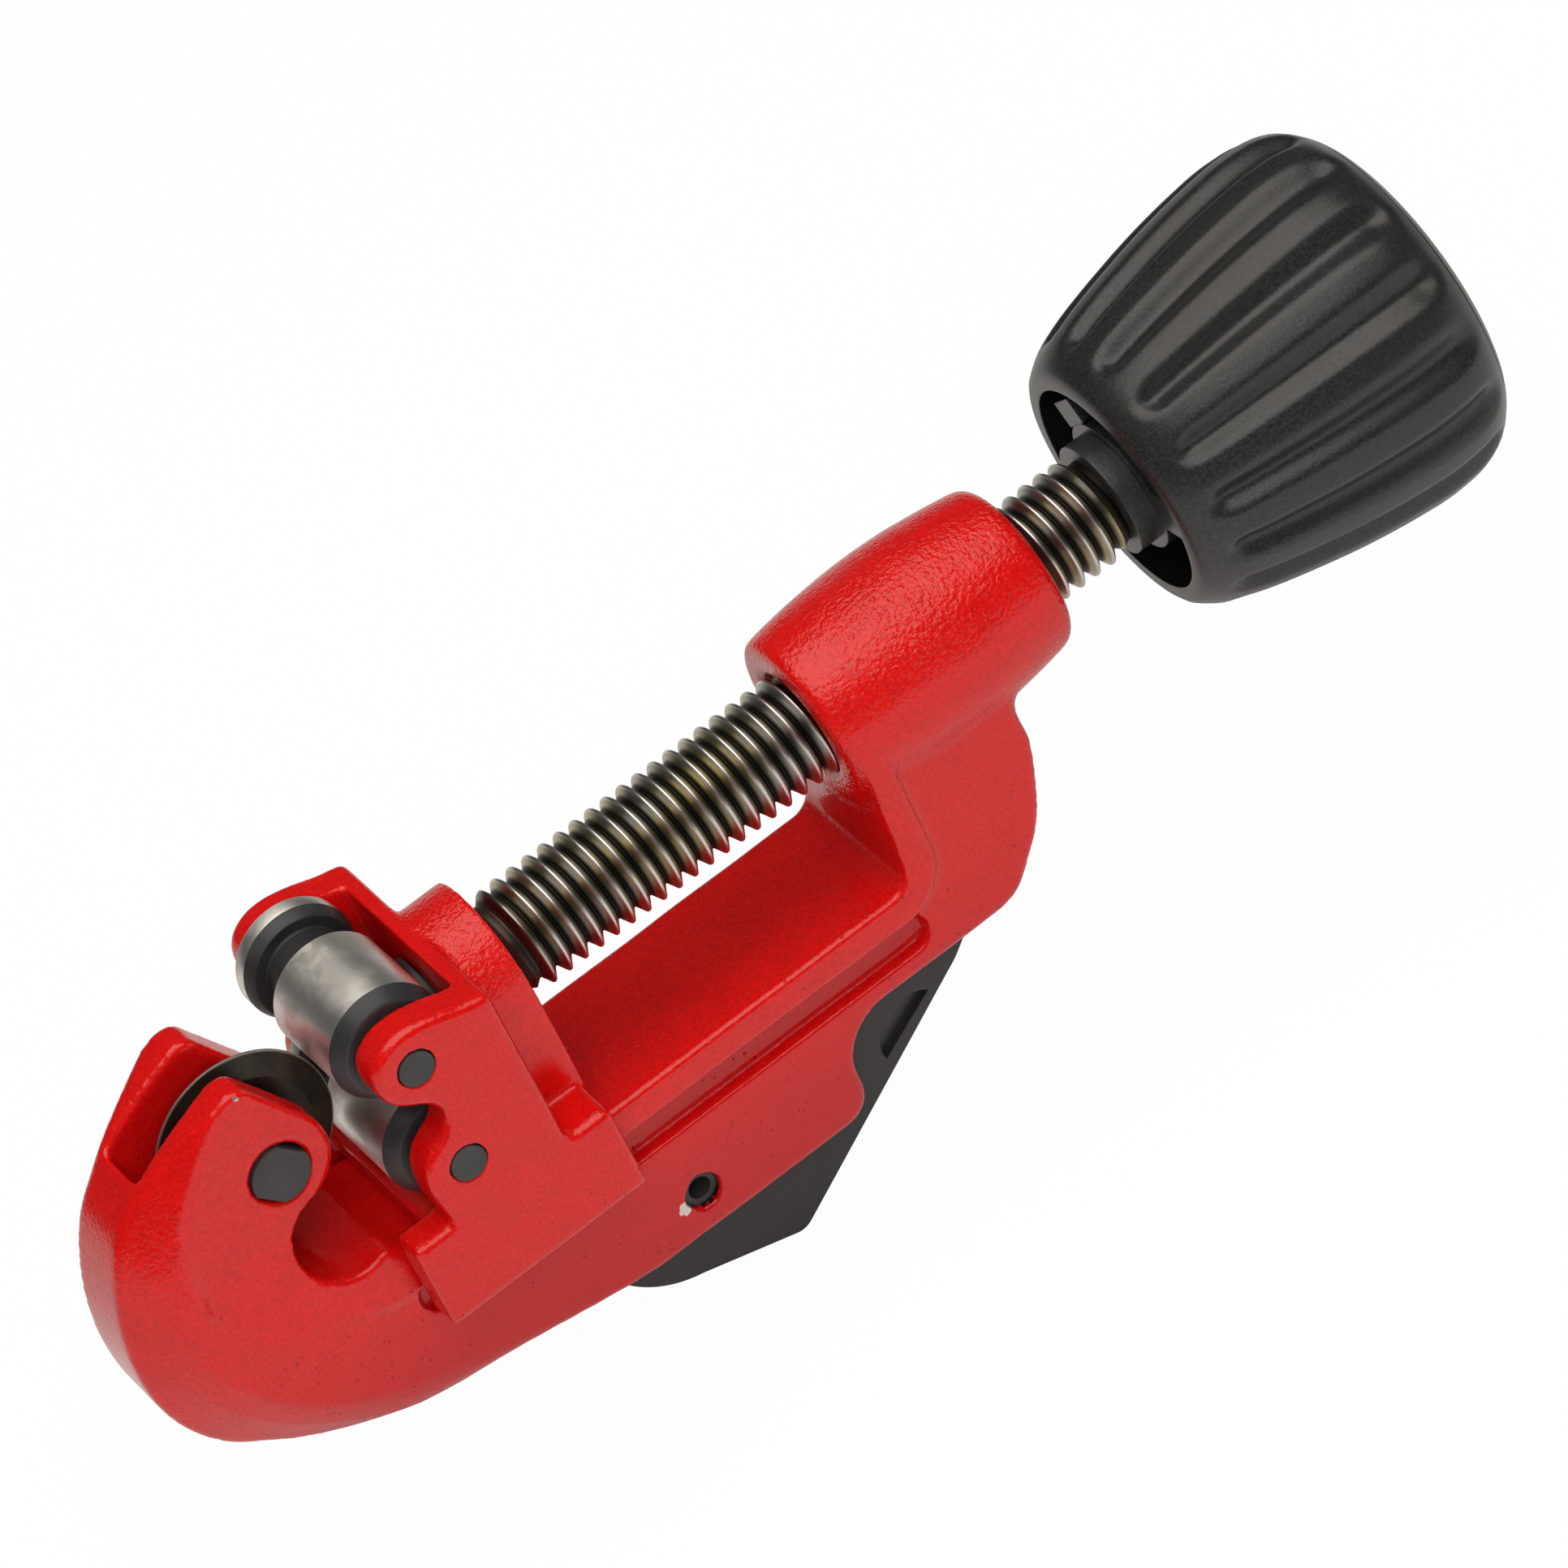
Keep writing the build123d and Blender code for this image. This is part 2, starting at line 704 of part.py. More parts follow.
with BuildPart() as feed_screw:
    with BuildSketch(Plane.XZ):
        with BuildLine():
            Polyline(
                (journal_left, 0),
                (journal_left, journal_radius - ring_thickness),
                (ring_left - running, journal_radius),
                (ring_left - running, journal_radius - ring_groove_depth),
                (ring_right + running, journal_radius - ring_groove_depth),
                (ring_right + running, journal_radius),
                (shoulder_left, journal_radius),
                (shoulder_left, shoulder_radius),
                (thread_left, shoulder_radius),
                *relief[:-1],
                (thread_right, thread_root),
                (thread_right, shank_radius),
                (shank_right, shank_radius),
                (shank_right, 0),
                close=True,
            )
        make_face()
    revolve(axis=Axis.X)
    with BuildSketch(along(thread_right)):
        Circle(screw_radius)
        Rectangle(2 * shank_flat, 3 * shank_radius, mode=Mode.SUBTRACT)
    extrude(amount=shank_right, mode=Mode.SUBTRACT)
    with Locations(along(shank_right)):
        Cylinder(
            knob_screw_radius + seat,
            knob_screw_depth + 1,
            align=(Align.CENTER, Align.CENTER, Align.MAX),
            mode=Mode.SUBTRACT,
        )
feed_screw.part.label = "feed_screw"
export_step(feed_screw.part, "parts/feed_screw.step")

with BuildPart() as screw_retaining_ring:
    with BuildSketch(along(ring_left)):
        Circle(ring_radius)
        Circle(journal_radius - ring_groove_depth + seat, mode=Mode.SUBTRACT)
        Rectangle(
            2 * ring_radius,
            ring_opening,
            align=(Align.MAX, Align.CENTER),
            mode=Mode.SUBTRACT,
        )
    extrude(amount=ring_thickness)
screw_retaining_ring.part.label = "screw_retaining_ring"
export_step(screw_retaining_ring.part, "parts/screw_retaining_ring.step")

# ---------------------------------------------------------------- knob
# the knob's outside: distance from its rim, and radius
knob_shape = [
    (0.6, knob_rim_radius + 0.3),
    (2.5, 16.0),
    (6.5, 17.5),
    (12.5, 19.0),
    (18.5, 20.2),
    (24.5, 21.0),
    (29.5, knob_radius),
    (cap_joint, 20.6),
]
# the path of a flute's cutter and half of its section, across and outwards
flute_path = [
    (knob_left + reach, radius)
    for reach, radius in (
        (flute_start, 15.3 + flute_rise),
        (flute_start + 3.0, 16.8),
        (12.5, 19.0),
        (18.5, 20.2),
        (24.5, 21.0),
        (flute_stop - 3.6, knob_radius - 0.1),
        (flute_stop, 20.6 + flute_rise),
    )
]
flute_half = [(3.3, 0.3), (2.5, -0.05), (1.7, -0.45), (0.9, -0.95)]

with BuildPart() as flute:
    with BuildLine(Plane.XZ):
        path = Spline(*flute_path)
    with BuildSketch(Plane(origin=path @ 0, x_dir=(0, 1, 0), z_dir=path % 0)):
        with BuildLine():
            Spline(
                *[(-across, out) for across, out in flute_half],
                (0, -flute_depth),
                *flute_half[::-1],
            )
            Polyline(
                flute_half[0],
                (flute_half[0][0], 2 * flute_depth),
                (-flute_half[0][0], 2 * flute_depth),
                (-flute_half[0][0], flute_half[0][1]),
            )
        make_face()
    sweep(path=path)

with BuildPart() as knob_body:
    with BuildSketch(Plane.XZ):
        with BuildLine():
            Polyline(
                (cap_left, knob_shape[-1][1]),
                (cap_left, store_radius),
                (deck_right, store_radius),
                (deck_right, shank_radius + seat),
                (knob_left + hub_recess, shank_radius + seat),
                (knob_left + hub_recess, hub_radius),
                (deck_left, hub_radius),
                (deck_left, knob_shape[5][1] - knob_wall),
            )
            Spline(
                (deck_left, knob_shape[5][1] - knob_wall),
                (knob_left + knob_shape[3][0], knob_shape[3][1] - knob_wall),
                (knob_left + mouth_depth, knob_mouth_radius + 0.8),
            )
            Polyline(
                (knob_left + mouth_depth, knob_mouth_radius + 0.8),
                (knob_left, knob_mouth_radius),
                (knob_left, knob_rim_radius - 0.4),
                (knob_left + knob_shape[0][0], knob_shape[0][1]),
            )
            Spline(*[(knob_left + reach, radius) for reach, radius in knob_shape])
        make_face()
    revolve(axis=Axis.X)
    # the hub is bored for the bush and stands on ribs
    with Locations(along(knob_left)):
        Cylinder(
            bush_radius + seat,
            bush_left + bush_length + seat - knob_left,
            align=(Align.CENTER, Align.CENTER, Align.MIN),
            mode=Mode.SUBTRACT,
        )
    with BuildSketch(along(knob_left + hub_recess)):
        with PolarLocations(0, hub_ribs, start_angle=hub_rib_turn):
            with Locations((bush_radius + 1, 0)):
                Rectangle(
                    hub_rib_radius - bush_radius - 1,
                    hub_rib_width,
                    align=(Align.MIN, Align.CENTER),
                )
    extrude(amount=deck_reach)
    # flutes
    for step in range(flute_count):
        turn = flute_phase + 90 + step * 360 / flute_count
        add(flute.part.rotate(Axis.X, turn), mode=Mode.SUBTRACT)
knob_body.part.label = "knob_body"
export_step(knob_body.part, "parts/knob_body.step")

with BuildPart() as knob_bush:
    with BuildSketch(along(bush_left)):
        Circle(bush_radius)
    extrude(amount=bush_length)
    with BuildSketch(along(bush_left - 1)):
        Circle(shank_radius + seat)
        Rectangle(2 * (shank_flat + seat), 3 * shank_radius, mode=Mode.INTERSECT)
    extrude(amount=bush_length + 2, mode=Mode.SUBTRACT)
knob_bush.part.label = "knob_bush"
export_step(knob_bush.part, "parts/knob_bush.step")

with BuildPart() as knob_washer:
    with BuildSketch(along(washer_left)):
        Circle(washer_radius)
        Circle(knob_screw_radius + running, mode=Mode.SUBTRACT)
    extrude(amount=washer_thickness)
knob_washer.part.label = "knob_washer"
export_step(knob_washer.part, "parts/knob_washer.step")

with BuildPart() as knob_screw:
    with BuildSketch(along(screw_head_left + seat)):
        Circle(knob_screw_head)
    extrude(amount=knob_screw_head_height)
    with BuildSketch(along(screw_head_left + seat)):
        Circle(knob_screw_radius)
    extrude(amount=shank_right - knob_screw_depth - screw_head_left)
    with BuildSketch(along(screw_head_left + knob_screw_head_height / 2)):
        RegularPolygon(knob_screw_hex, 6)
    extrude(amount=knob_screw_head_height, mode=Mode.SUBTRACT)
knob_screw.part.label = "knob_screw"
export_step(knob_screw.part, "parts/knob_screw.step")

# the spare wheel is stored on a spigot inside the knob's cap
with BuildPart() as spare_wheel:
    with BuildSketch(Plane.XZ):
        middle = (spare_left + spare_right) / 2
        with BuildLine():
            Polyline(
                (middle - wheel_hub_half, axle_radius + running),
                (middle - wheel_hub_half, wheel_hub_radius),
                (middle - wheel_web_half, wheel_hub_radius),
                (middle - wheel_web_half, wheel_shoulder),
                (middle - wheel_edge, wheel_radius),
                (middle + wheel_edge, wheel_radius),
                (middle + wheel_web_half, wheel_shoulder),
                (middle + wheel_web_half, wheel_hub_radius),
                (middle + wheel_hub_half, wheel_hub_radius),
                (middle + wheel_hub_half, axle_radius + running),
                close=True,
            )
        make_face()
    revolve(axis=Axis.X)
spare_wheel.part.label = "spare_wheel"
export_step(spare_wheel.part, "parts/spare_wheel.step")

with BuildPart() as knob_cap:
    with BuildSketch(Plane.XZ):
        with BuildLine():
            Spline(
                (cap_left + seat, knob_shape[-1][1]),
                (knob_right - 4.6, 19.2),
                (knob_right - 2.8, 16.4),
                (knob_right - 1.1, 11.0),
                (knob_right, 0),
                tangents=[(1, -0.35), (0, -1)],
            )
            Polyline(
                (knob_right, 0),
                (spare_left + spare_gap, 0),
                (spare_left + spare_gap, spigot_radius),
                (spare_right + seat, spigot_radius),
                (spare_right + seat, wheel_hub_radius),
                (spare_right + 2 * side_gap, wheel_hub_radius),
                (spare_right + 2 * side_gap, wheel_radius + 1),
                (cap_left + 1, store_radius - cap_lip),
                (cap_left - cap_lip, store_radius - cap_lip),
                (cap_left - cap_lip, store_radius - seat),
                (cap_left + seat, store_radius - seat),
                (cap_left + seat, knob_shape[-1][1]),
            )
        make_face()
    revolve(axis=Axis.X)
knob_cap.part.label = "knob_cap"
export_step(knob_cap.part, "parts/knob_cap.step")

# ---------------------------------------------------------------- deburrer
rivet_point = (pivot_x + 17.5, pivot_z + 0.4)
heel_top = on_circle((pivot_x, pivot_z), reamer_heel, 112)
heel_left = on_circle((pivot_x, pivot_z), reamer_heel, 185)
heel_bottom = on_circle((pivot_x, pivot_z), reamer_heel, 257)
holder_tip = (pivot_x + reamer_reach, pivot_z + 4.6)
with BuildSketch(Plane.XZ) as holder_outline:
    with BuildLine():
        ThreePointArc(heel_top, heel_left, heel_bottom)
        FilletPolyline(
            heel_bottom,
            (pivot_x + 8.8, pivot_z - reamer_drop - 0.4),
            (pivot_x + 36.2, pivot_z + 0.9),
            holder_tip,
            (pivot_x + 15.0, pivot_z + 3.4),
            (pivot_x + 9.4, pivot_z + 11.6),
            heel_top,
            radius=[2.2, 5.0, 0.8, 1.0, 1.5],
        )
    make_face()
with BuildSketch(Plane.XZ) as blade_outline:
    Polygon(
        (pivot_x + 9.8, pivot_z - 5.4),
        (pivot_x + 29.3, pivot_z - 1.9),
        (pivot_x + 38.6, pivot_z + 4.1),
        (pivot_x + 17.3, pivot_z + 12.0),
        (pivot_x + 11.8, pivot_z + 9.6),
        align=None,
    )

# the near nail nick: a scoop, deepest at its straight side, that rises to its round one
nick_middle = Plane(
    origin=(pivot_x + nick_reach, -reamer_half, pivot_z - nick_drop),
    x_dir=(cos(radians(nick_turn)), 0, sin(radians(nick_turn))),
    z_dir=(0, -1, 0),
)
with BuildPart() as near_nick:
    with BuildSketch(nick_middle):
        with BuildLine():
            ThreePointArc(
                (-nick_length / 2, 0), (-nick_length / 8, nick_width), (nick_length / 2, 0)
            )
            Line((nick_length / 2, 0), (-nick_length / 2, 0))
        make_face()
    extrude(amount=nick_depth, both=True)
    # the floor of the scoop
    with BuildSketch(Plane(nick_middle.origin, x_dir=(0, 1, 0), z_dir=nick_middle.x_dir)):
        Polygon((nick_depth, 0), (0, nick_width), (-nick_depth, nick_width), (-nick_depth, 0), align=None)
    extrude(amount=nick_length, both=True, mode=Mode.INTERSECT)

with BuildPart() as reamer_holder:
    extrude(holder_outline.sketch, amount=reamer_half, both=True)
    with BuildSketch(Plane.XZ):
        add(blade_outline.sketch)
        offset(amount=blade_gap, kind=Kind.INTERSECTION)
    extrude(amount=blade_thickness / 2 + seat, both=True, mode=Mode.SUBTRACT)
    add(near_nick.part, mode=Mode.SUBTRACT)
    add(mirror(near_nick.part, about=Plane.XZ), mode=Mode.SUBTRACT)
    with Locations(Plane.XZ.shift_origin((pivot_x, 0, pivot_z))):
        Cylinder(pivot_radius + running, 4 * reamer_half, mode=Mode.SUBTRACT)
    with Locations(Plane.XZ.shift_origin((rivet_point[0], 0, rivet_point[1]))):
        Cylinder(rivet_radius + seat, 4 * reamer_half, mode=Mode.SUBTRACT)
reamer_holder.part.label = "reamer_holder"
export_step(reamer_holder.part, "parts/reamer_holder.step")

with BuildPart() as reamer_blade:
    extrude(blade_outline.sketch, amount=blade_thickness / 2, both=True)
    with Locations(Plane.XZ.shift_origin((rivet_point[0], 0, rivet_point[1]))):
        Cylinder(rivet_radius + seat, 4 * reamer_half, mode=Mode.SUBTRACT)
reamer_blade.part.label = "reamer_blade"
export_step(reamer_blade.part, "parts/reamer_blade.step")

with BuildPart() as reamer_rivet:
    with Locations(Plane.XZ.shift_origin((rivet_point[0], 0, rivet_point[1]))):
        Cylinder(rivet_radius, 2 * reamer_half)
reamer_rivet.part.label = "reamer_rivet"
export_step(reamer_rivet.part, "parts/reamer_rivet.step")

with BuildPart() as reamer_pivot_pin:
    with Locations(Plane.XZ.shift_origin((pivot_x, 0, pivot_z))):
        Cylinder(pivot_radius, 2 * (plate_half - pivot_recess))
        Cylinder(pivot_bore, 4 * plate_half, mode=Mode.SUBTRACT)
reamer_pivot_pin.part.label = "reamer_pivot_pin"
export_step(reamer_pivot_pin.part, "parts/reamer_pivot_pin.step")
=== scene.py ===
import bpy
import bmesh
import math
from mathutils import Matrix, Vector, noise


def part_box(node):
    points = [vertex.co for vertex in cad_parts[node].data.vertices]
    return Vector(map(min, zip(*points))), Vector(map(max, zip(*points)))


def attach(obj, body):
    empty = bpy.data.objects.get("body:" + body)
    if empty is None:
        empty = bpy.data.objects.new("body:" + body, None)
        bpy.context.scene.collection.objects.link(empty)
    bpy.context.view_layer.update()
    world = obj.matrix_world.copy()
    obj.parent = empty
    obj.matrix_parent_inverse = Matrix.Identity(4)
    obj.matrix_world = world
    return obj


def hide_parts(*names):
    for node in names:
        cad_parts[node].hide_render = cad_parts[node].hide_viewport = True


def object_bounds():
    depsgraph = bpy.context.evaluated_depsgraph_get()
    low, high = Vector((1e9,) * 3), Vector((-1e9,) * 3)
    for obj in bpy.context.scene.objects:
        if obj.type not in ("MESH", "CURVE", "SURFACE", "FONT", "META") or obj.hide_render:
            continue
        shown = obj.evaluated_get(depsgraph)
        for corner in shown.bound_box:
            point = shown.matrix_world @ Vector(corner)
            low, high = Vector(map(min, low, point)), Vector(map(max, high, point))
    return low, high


mm = 0.001
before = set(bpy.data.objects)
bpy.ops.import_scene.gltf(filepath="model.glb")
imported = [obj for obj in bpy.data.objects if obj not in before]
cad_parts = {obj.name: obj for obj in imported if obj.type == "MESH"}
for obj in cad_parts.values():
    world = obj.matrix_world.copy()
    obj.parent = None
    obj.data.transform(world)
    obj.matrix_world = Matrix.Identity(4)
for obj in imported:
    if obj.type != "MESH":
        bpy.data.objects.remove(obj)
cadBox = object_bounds()
print("cad frame loaded,", len(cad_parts), "nodes")


# node helpers

def newMaterial(name):
    mat = bpy.data.materials.new(name)
    mat.use_nodes = True
    tree = mat.node_tree
    return mat, tree, tree.nodes["Principled BSDF"]


def addNode(tree, kind, **values):
    node = tree.nodes.new(kind)
    for key, value in values.items():
        if key.startswith("in_"):
            node.inputs[key[3:].replace("_", " ")].default_value = value
        else:
            setattr(node, key, value)
    return node


def grey(level):
    return (level, level, level, 1.0)


def link(tree, a, outName, b, inName):
    tree.links.new(a.outputs[outName], b.inputs[inName])


def objectPoint(tree):
    return addNode(tree, "ShaderNodeTexCoord").outputs["Object"]


def axesOf(tree, vector):
    axes = addNode(tree, "ShaderNodeSeparateXYZ")
    tree.links.new(vector, axes.inputs["Vector"])
    return axes.outputs["X"], axes.outputs["Y"], axes.outputs["Z"]


def math2(tree, operation, a, b):
    # a and b are sockets or plain numbers
    node = addNode(tree, "ShaderNodeMath", operation=operation)
    for i, value in enumerate((a, b)):
        if isinstance(value, (int, float)):
            node.inputs[i].default_value = value
        else:
            tree.links.new(value, node.inputs[i])
    return node.outputs["Value"]


def product(tree, first, *others):
    for other in others:
        first = math2(tree, "MULTIPLY", first, other)
    return first


def larger(tree, a, b):
    return math2(tree, "MAXIMUM", a, b)


def noiseOf(tree, scale, detail, rough, stretch=(1, 1, 1)):
    # noise in the object's own metres, stretched along an axis if asked
    texture = addNode(tree, "ShaderNodeTexNoise", in_Scale=scale, in_Detail=detail, in_Roughness=rough)
    mapping = addNode(tree, "ShaderNodeMapping")
    mapping.inputs["Scale"].default_value = stretch
    tree.links.new(objectPoint(tree), mapping.inputs["Vector"])
    link(tree, mapping, "Vector", texture, "Vector")
    return texture.outputs["Fac"]


def turningLines(tree, distance, scale, detail):
    # fine rings, uneven only with the distance from an axis
    texture = addNode(tree, "ShaderNodeTexNoise", noise_dimensions="1D", in_Scale=scale, in_Detail=detail)
    tree.links.new(distance, texture.inputs["W"])
    return texture.outputs["Fac"]


def distanceFrom(tree, centre, weights):
    # length of the weighted way from a point: (1, 0, 1) measures from a line across the tool
    away = addNode(tree, "ShaderNodeVectorMath", operation="SUBTRACT")
    tree.links.new(objectPoint(tree), away.inputs[0])
    away.inputs[1].default_value = centre
    flat = addNode(tree, "ShaderNodeVectorMath", operation="MULTIPLY")
    tree.links.new(away.outputs["Vector"], flat.inputs[0])
    flat.inputs[1].default_value = weights
    length = addNode(tree, "ShaderNodeVectorMath", operation="LENGTH")
    tree.links.new(flat.outputs["Vector"], length.inputs[0])
    return length.outputs["Value"]


def ramp(tree, value, low, high, toLow=0.0, toHigh=1.0):
    node = addNode(tree, "ShaderNodeMapRange", interpolation_type="SMOOTHSTEP")
    tree.links.new(value, node.inputs["Value"])
    node.inputs["From Min"].default_value = low
    node.inputs["From Max"].default_value = high
    node.inputs["To Min"].default_value = toLow
    node.inputs["To Max"].default_value = toHigh
    return node.outputs["Result"]


def fall(tree, value, low, high):
    return ramp(tree, value, low, high, 1.0, 0.0)


def mixColour(tree, fac, a, b):
    # a and b are sockets or plain colours
    node = addNode(tree, "ShaderNodeMix", data_type="RGBA")
    tree.links.new(fac, node.inputs["Factor"])
    for name, value in (("A", a), ("B", b)):
        socket = [i for i in node.inputs if i.name == name and i.type == "RGBA"][0]
        if isinstance(value, tuple):
            socket.default_value = value
        else:
            tree.links.new(value, socket)
    return [o for o in node.outputs if o.type == "RGBA"][0]


def addBump(tree, shader, height, distance, under=None):
    bump = addNode(tree, "ShaderNodeBump", in_Strength=1.0, in_Distance=distance)
    tree.links.new(height, bump.inputs["Height"])
    if under is not None:
        tree.links.new(under.outputs["Normal"], bump.inputs["Normal"])
    link(tree, bump, "Normal", shader, "Normal")
    return bump


def softEdge(tree, radius):
    return addNode(tree, "ShaderNodeBevel", in_Radius=radius, samples=6)


# red enamel of the castings

enamel = {
    "colour": (0.750, 0.0065, 0.0040, 1.0),
    "thin": (0.570, 0.0035, 0.0040, 1.0),
    # painted shade: the darker colour laid in the long groove and low on the sides
    "paintedShade": (0.420, 0.0020, 0.0050, 1.0),
    # painted shade for the clearance about the pins
    "gap": (0.004, 0.003, 0.003, 1.0),
    "bare": (0.62, 0.58, 0.54, 1.0),
    "roughness": 0.17,
    "specular": 0.45,
    "cloudScale": 260.0,
    "cloudShare": 0.25,
    "speckScale": 2400.0,
    "speckShare": 0.75,
    "grainScale": 2300.0,
    "grainHeight": 0.026 * mm,
    "peelScale": 1900.0,
    "peelHeight": 0.30 * mm,
    "peelLeast": 0.22,
    "peelFade": (1.2 * mm, 0.5 * mm),    # out from the screw, and along it
    "patchScale": 90.0,
    "pitScale": 1100.0,
    "pitDepth": 0.16 * mm,
    "pitPatchScale": 420.0,
    "pitLevel": (-14.0 * mm, -22.0 * mm),
    "pitsAbove": 0.25,
    "pitTint": 0.6,
    # painted shade on the floor of the long groove
    "groove": {
        "half": (8.0 * mm, 8.9 * mm),
        "bottom": (-26.6 * mm, -25.9 * mm),
        "top": (-21.9 * mm, -21.2 * mm),
        "left": (-5.0 * mm, -4.0 * mm),
        "right": (60.0 * mm, 61.5 * mm),
        "shadeShare": 0.5,
    },
    # painted shade, growing towards the bottom of the sides
    "lowShadeLevel": (-18.0 * mm, -38.0 * mm),
    "lowShadeShare": 0.6,
    "ragScale": 1800.0,
    "gapRag": 0.45 * mm,
    "gapRim": (0.22, 0.34),
    "chipRag": 0.9 * mm,
    "chipRim": (0.30, 0.36),
    "chipMetal": 0.8,
}


def peelOf(tree, spec, peelFrom, x):
    # orange peel: most on what is round about the screw, least on flat sides
    out, along = spec["peelFade"]
    fromScrew = distanceFrom(tree, (0, 0, 0), (0, 1, 1))
    near = ramp(tree, fromScrew, peelFrom["radius"], peelFrom["radius"] + out, 1.0, spec["peelLeast"])
    beyond = ramp(tree, x, peelFrom["x"] - along, peelFrom["x"] + along)
    zone = larger(tree, product(tree, near, beyond), spec["peelLeast"])
    normal = addNode(tree, "ShaderNodeNewGeometry").outputs["True Normal"]
    facing = math2(tree, "ABSOLUTE", axesOf(tree, normal)[1], 0.0)
    side = ramp(tree, facing, 0.90, 0.99, 1.0, spec["peelLeast"])
    patch = ramp(tree, noiseOf(tree, spec["patchScale"], 2.0, 0.5), 0.3, 0.7, 0.45, 1.0)
    return product(tree, noiseOf(tree, spec["peelScale"], 2.5, 0.5), zone, side, patch)


def pitsOf(tree, spec, z):
    # small open pits in patches, most of them low on the web
    cells = addNode(tree, "ShaderNodeTexVoronoi", in_Scale=spec["pitScale"])
    tree.links.new(objectPoint(tree), cells.inputs["Vector"])
    few = ramp(tree, noiseOf(tree, spec["pitPatchScale"], 1.0, 0.5), 0.53, 0.61)
    lower = ramp(tree, z, *spec["pitLevel"], spec["pitsAbove"], 1.0)
    return product(tree, fall(tree, cells.outputs["Distance"], 0.08, 0.22), few, lower)


def grooveShadeShare(tree, groove, x, y, z):
    inside = fall(tree, math2(tree, "ABSOLUTE", y, 0.0), *groove["half"])
    level = product(tree, ramp(tree, z, *groove["bottom"]), fall(tree, z, *groove["top"]))
    along = product(tree, ramp(tree, x, *groove["left"]), fall(tree, x, *groove["right"]))
    return product(tree, inside, level, along, groove["shadeShare"])


def enamelMaterial(name, spec, peelFrom, gaps, chips):
    mat, tree, shader = newMaterial(name)
    shader.inputs["Roughness"].default_value = spec["roughness"]
    shader.inputs["Specular IOR Level"].default_value = spec["specular"]
    x, y, z = axesOf(tree, objectPoint(tree))
    cloud = ramp(tree, noiseOf(tree, spec["cloudScale"], 4.0, 0.6), 0.35, 0.7)
    speck = ramp(tree, noiseOf(tree, spec["speckScale"], 2.0, 0.7), 0.36, 0.64)
    cloud = product(tree, cloud, spec["cloudShare"])
    speck = product(tree, speck, spec["speckShare"])
    colour = mixColour(tree, math2(tree, "ADD", cloud, speck), spec["colour"], spec["thin"])
    pit = pitsOf(tree, spec, z)
    colour = mixColour(tree, product(tree, pit, spec["pitTint"]), colour, spec["thin"])
    # painted shade: darker in the long groove and low on the sides, where shade falls
    lowShade = product(tree, ramp(tree, z, *spec["lowShadeLevel"]), spec["lowShadeShare"])
    groove = grooveShadeShare(tree, spec["groove"], x, y, z)
    colour = mixColour(tree, larger(tree, groove, lowShade), colour, spec["paintedShade"])
    # painted shade: dark ragged rings in the open clearance about the pins
    ragged = noiseOf(tree, spec["ragScale"], 2.0, 0.6)
    rimFrom, rimTo = spec["gapRim"]
    for gapX, gapZ, radius in gaps:
        way = distanceFrom(tree, (gapX * mm, 0, gapZ * mm), (1, 0, 1))
        way = math2(tree, "ADD", way, product(tree, ragged, spec["gapRag"]))
        ring = fall(tree, way, (radius + rimFrom) * mm, (radius + rimTo) * mm)
        colour = mixColour(tree, ring, colour, spec["gap"])
    # places chipped to the bare metal
    metal = 0.0
    rimFrom, rimTo = spec["chipRim"]
    for point, radius in chips:
        way = distanceFrom(tree, tuple(v * mm for v in point), (1, 1, 1))
        way = math2(tree, "ADD", way, product(tree, ragged, spec["chipRag"]))
        chip = fall(tree, way, (radius + rimFrom) * mm, (radius + rimTo) * mm)
        colour = mixColour(tree, chip, colour, spec["bare"])
        metal = larger(tree, metal, chip)
    tree.links.new(colour, shader.inputs["Base Color"])
    if chips:
        tree.links.new(product(tree, metal, spec["chipMetal"]), shader.inputs["Metallic"])
    low = addBump(tree, shader, peelOf(tree, spec, peelFrom, x), spec["peelHeight"])
    middle = addBump(tree, shader, pit, -spec["pitDepth"], low)
    addBump(tree, shader, noiseOf(tree, spec["grainScale"], 3.0, 0.6), spec["grainHeight"], middle)
    return mat


# gaps, where painted shade rings the pins, are (x, z, radius) and chips are (point, radius), in millimetres
frameEnamel = enamelMaterial(
    "frameEnamel", enamel, {"x": 58.0 * mm, "radius": 11.4 * mm},
    [(26.7, -34.6, 2.0)],
    [((-10.2, -7.6, 11.2), 0.35), ((24.2, -8.8, -34.9), 1.0), ((-17.0, -6.0, 5.6), 0.25)],
)
carriageEnamel = enamelMaterial(
    "carriageEnamel", enamel, {"x": 14.6 * mm, "radius": 9.6 * mm},
    [(5.62, 7.05, 2.0), (5.62, -6.85, 2.0)], [],
)


# steels: each takes this look and changes what it names

steelLook = {
    "metallic": 1.0,
    "stainScale": 220.0,
    "rougher": 0.14,    # where it is stained
    "markScale": 1400.0,
    "markStretch": (1, 1, 1),
    "markHeight": 0.006 * mm,
    "edgeRadius": 0.12 * mm,
}


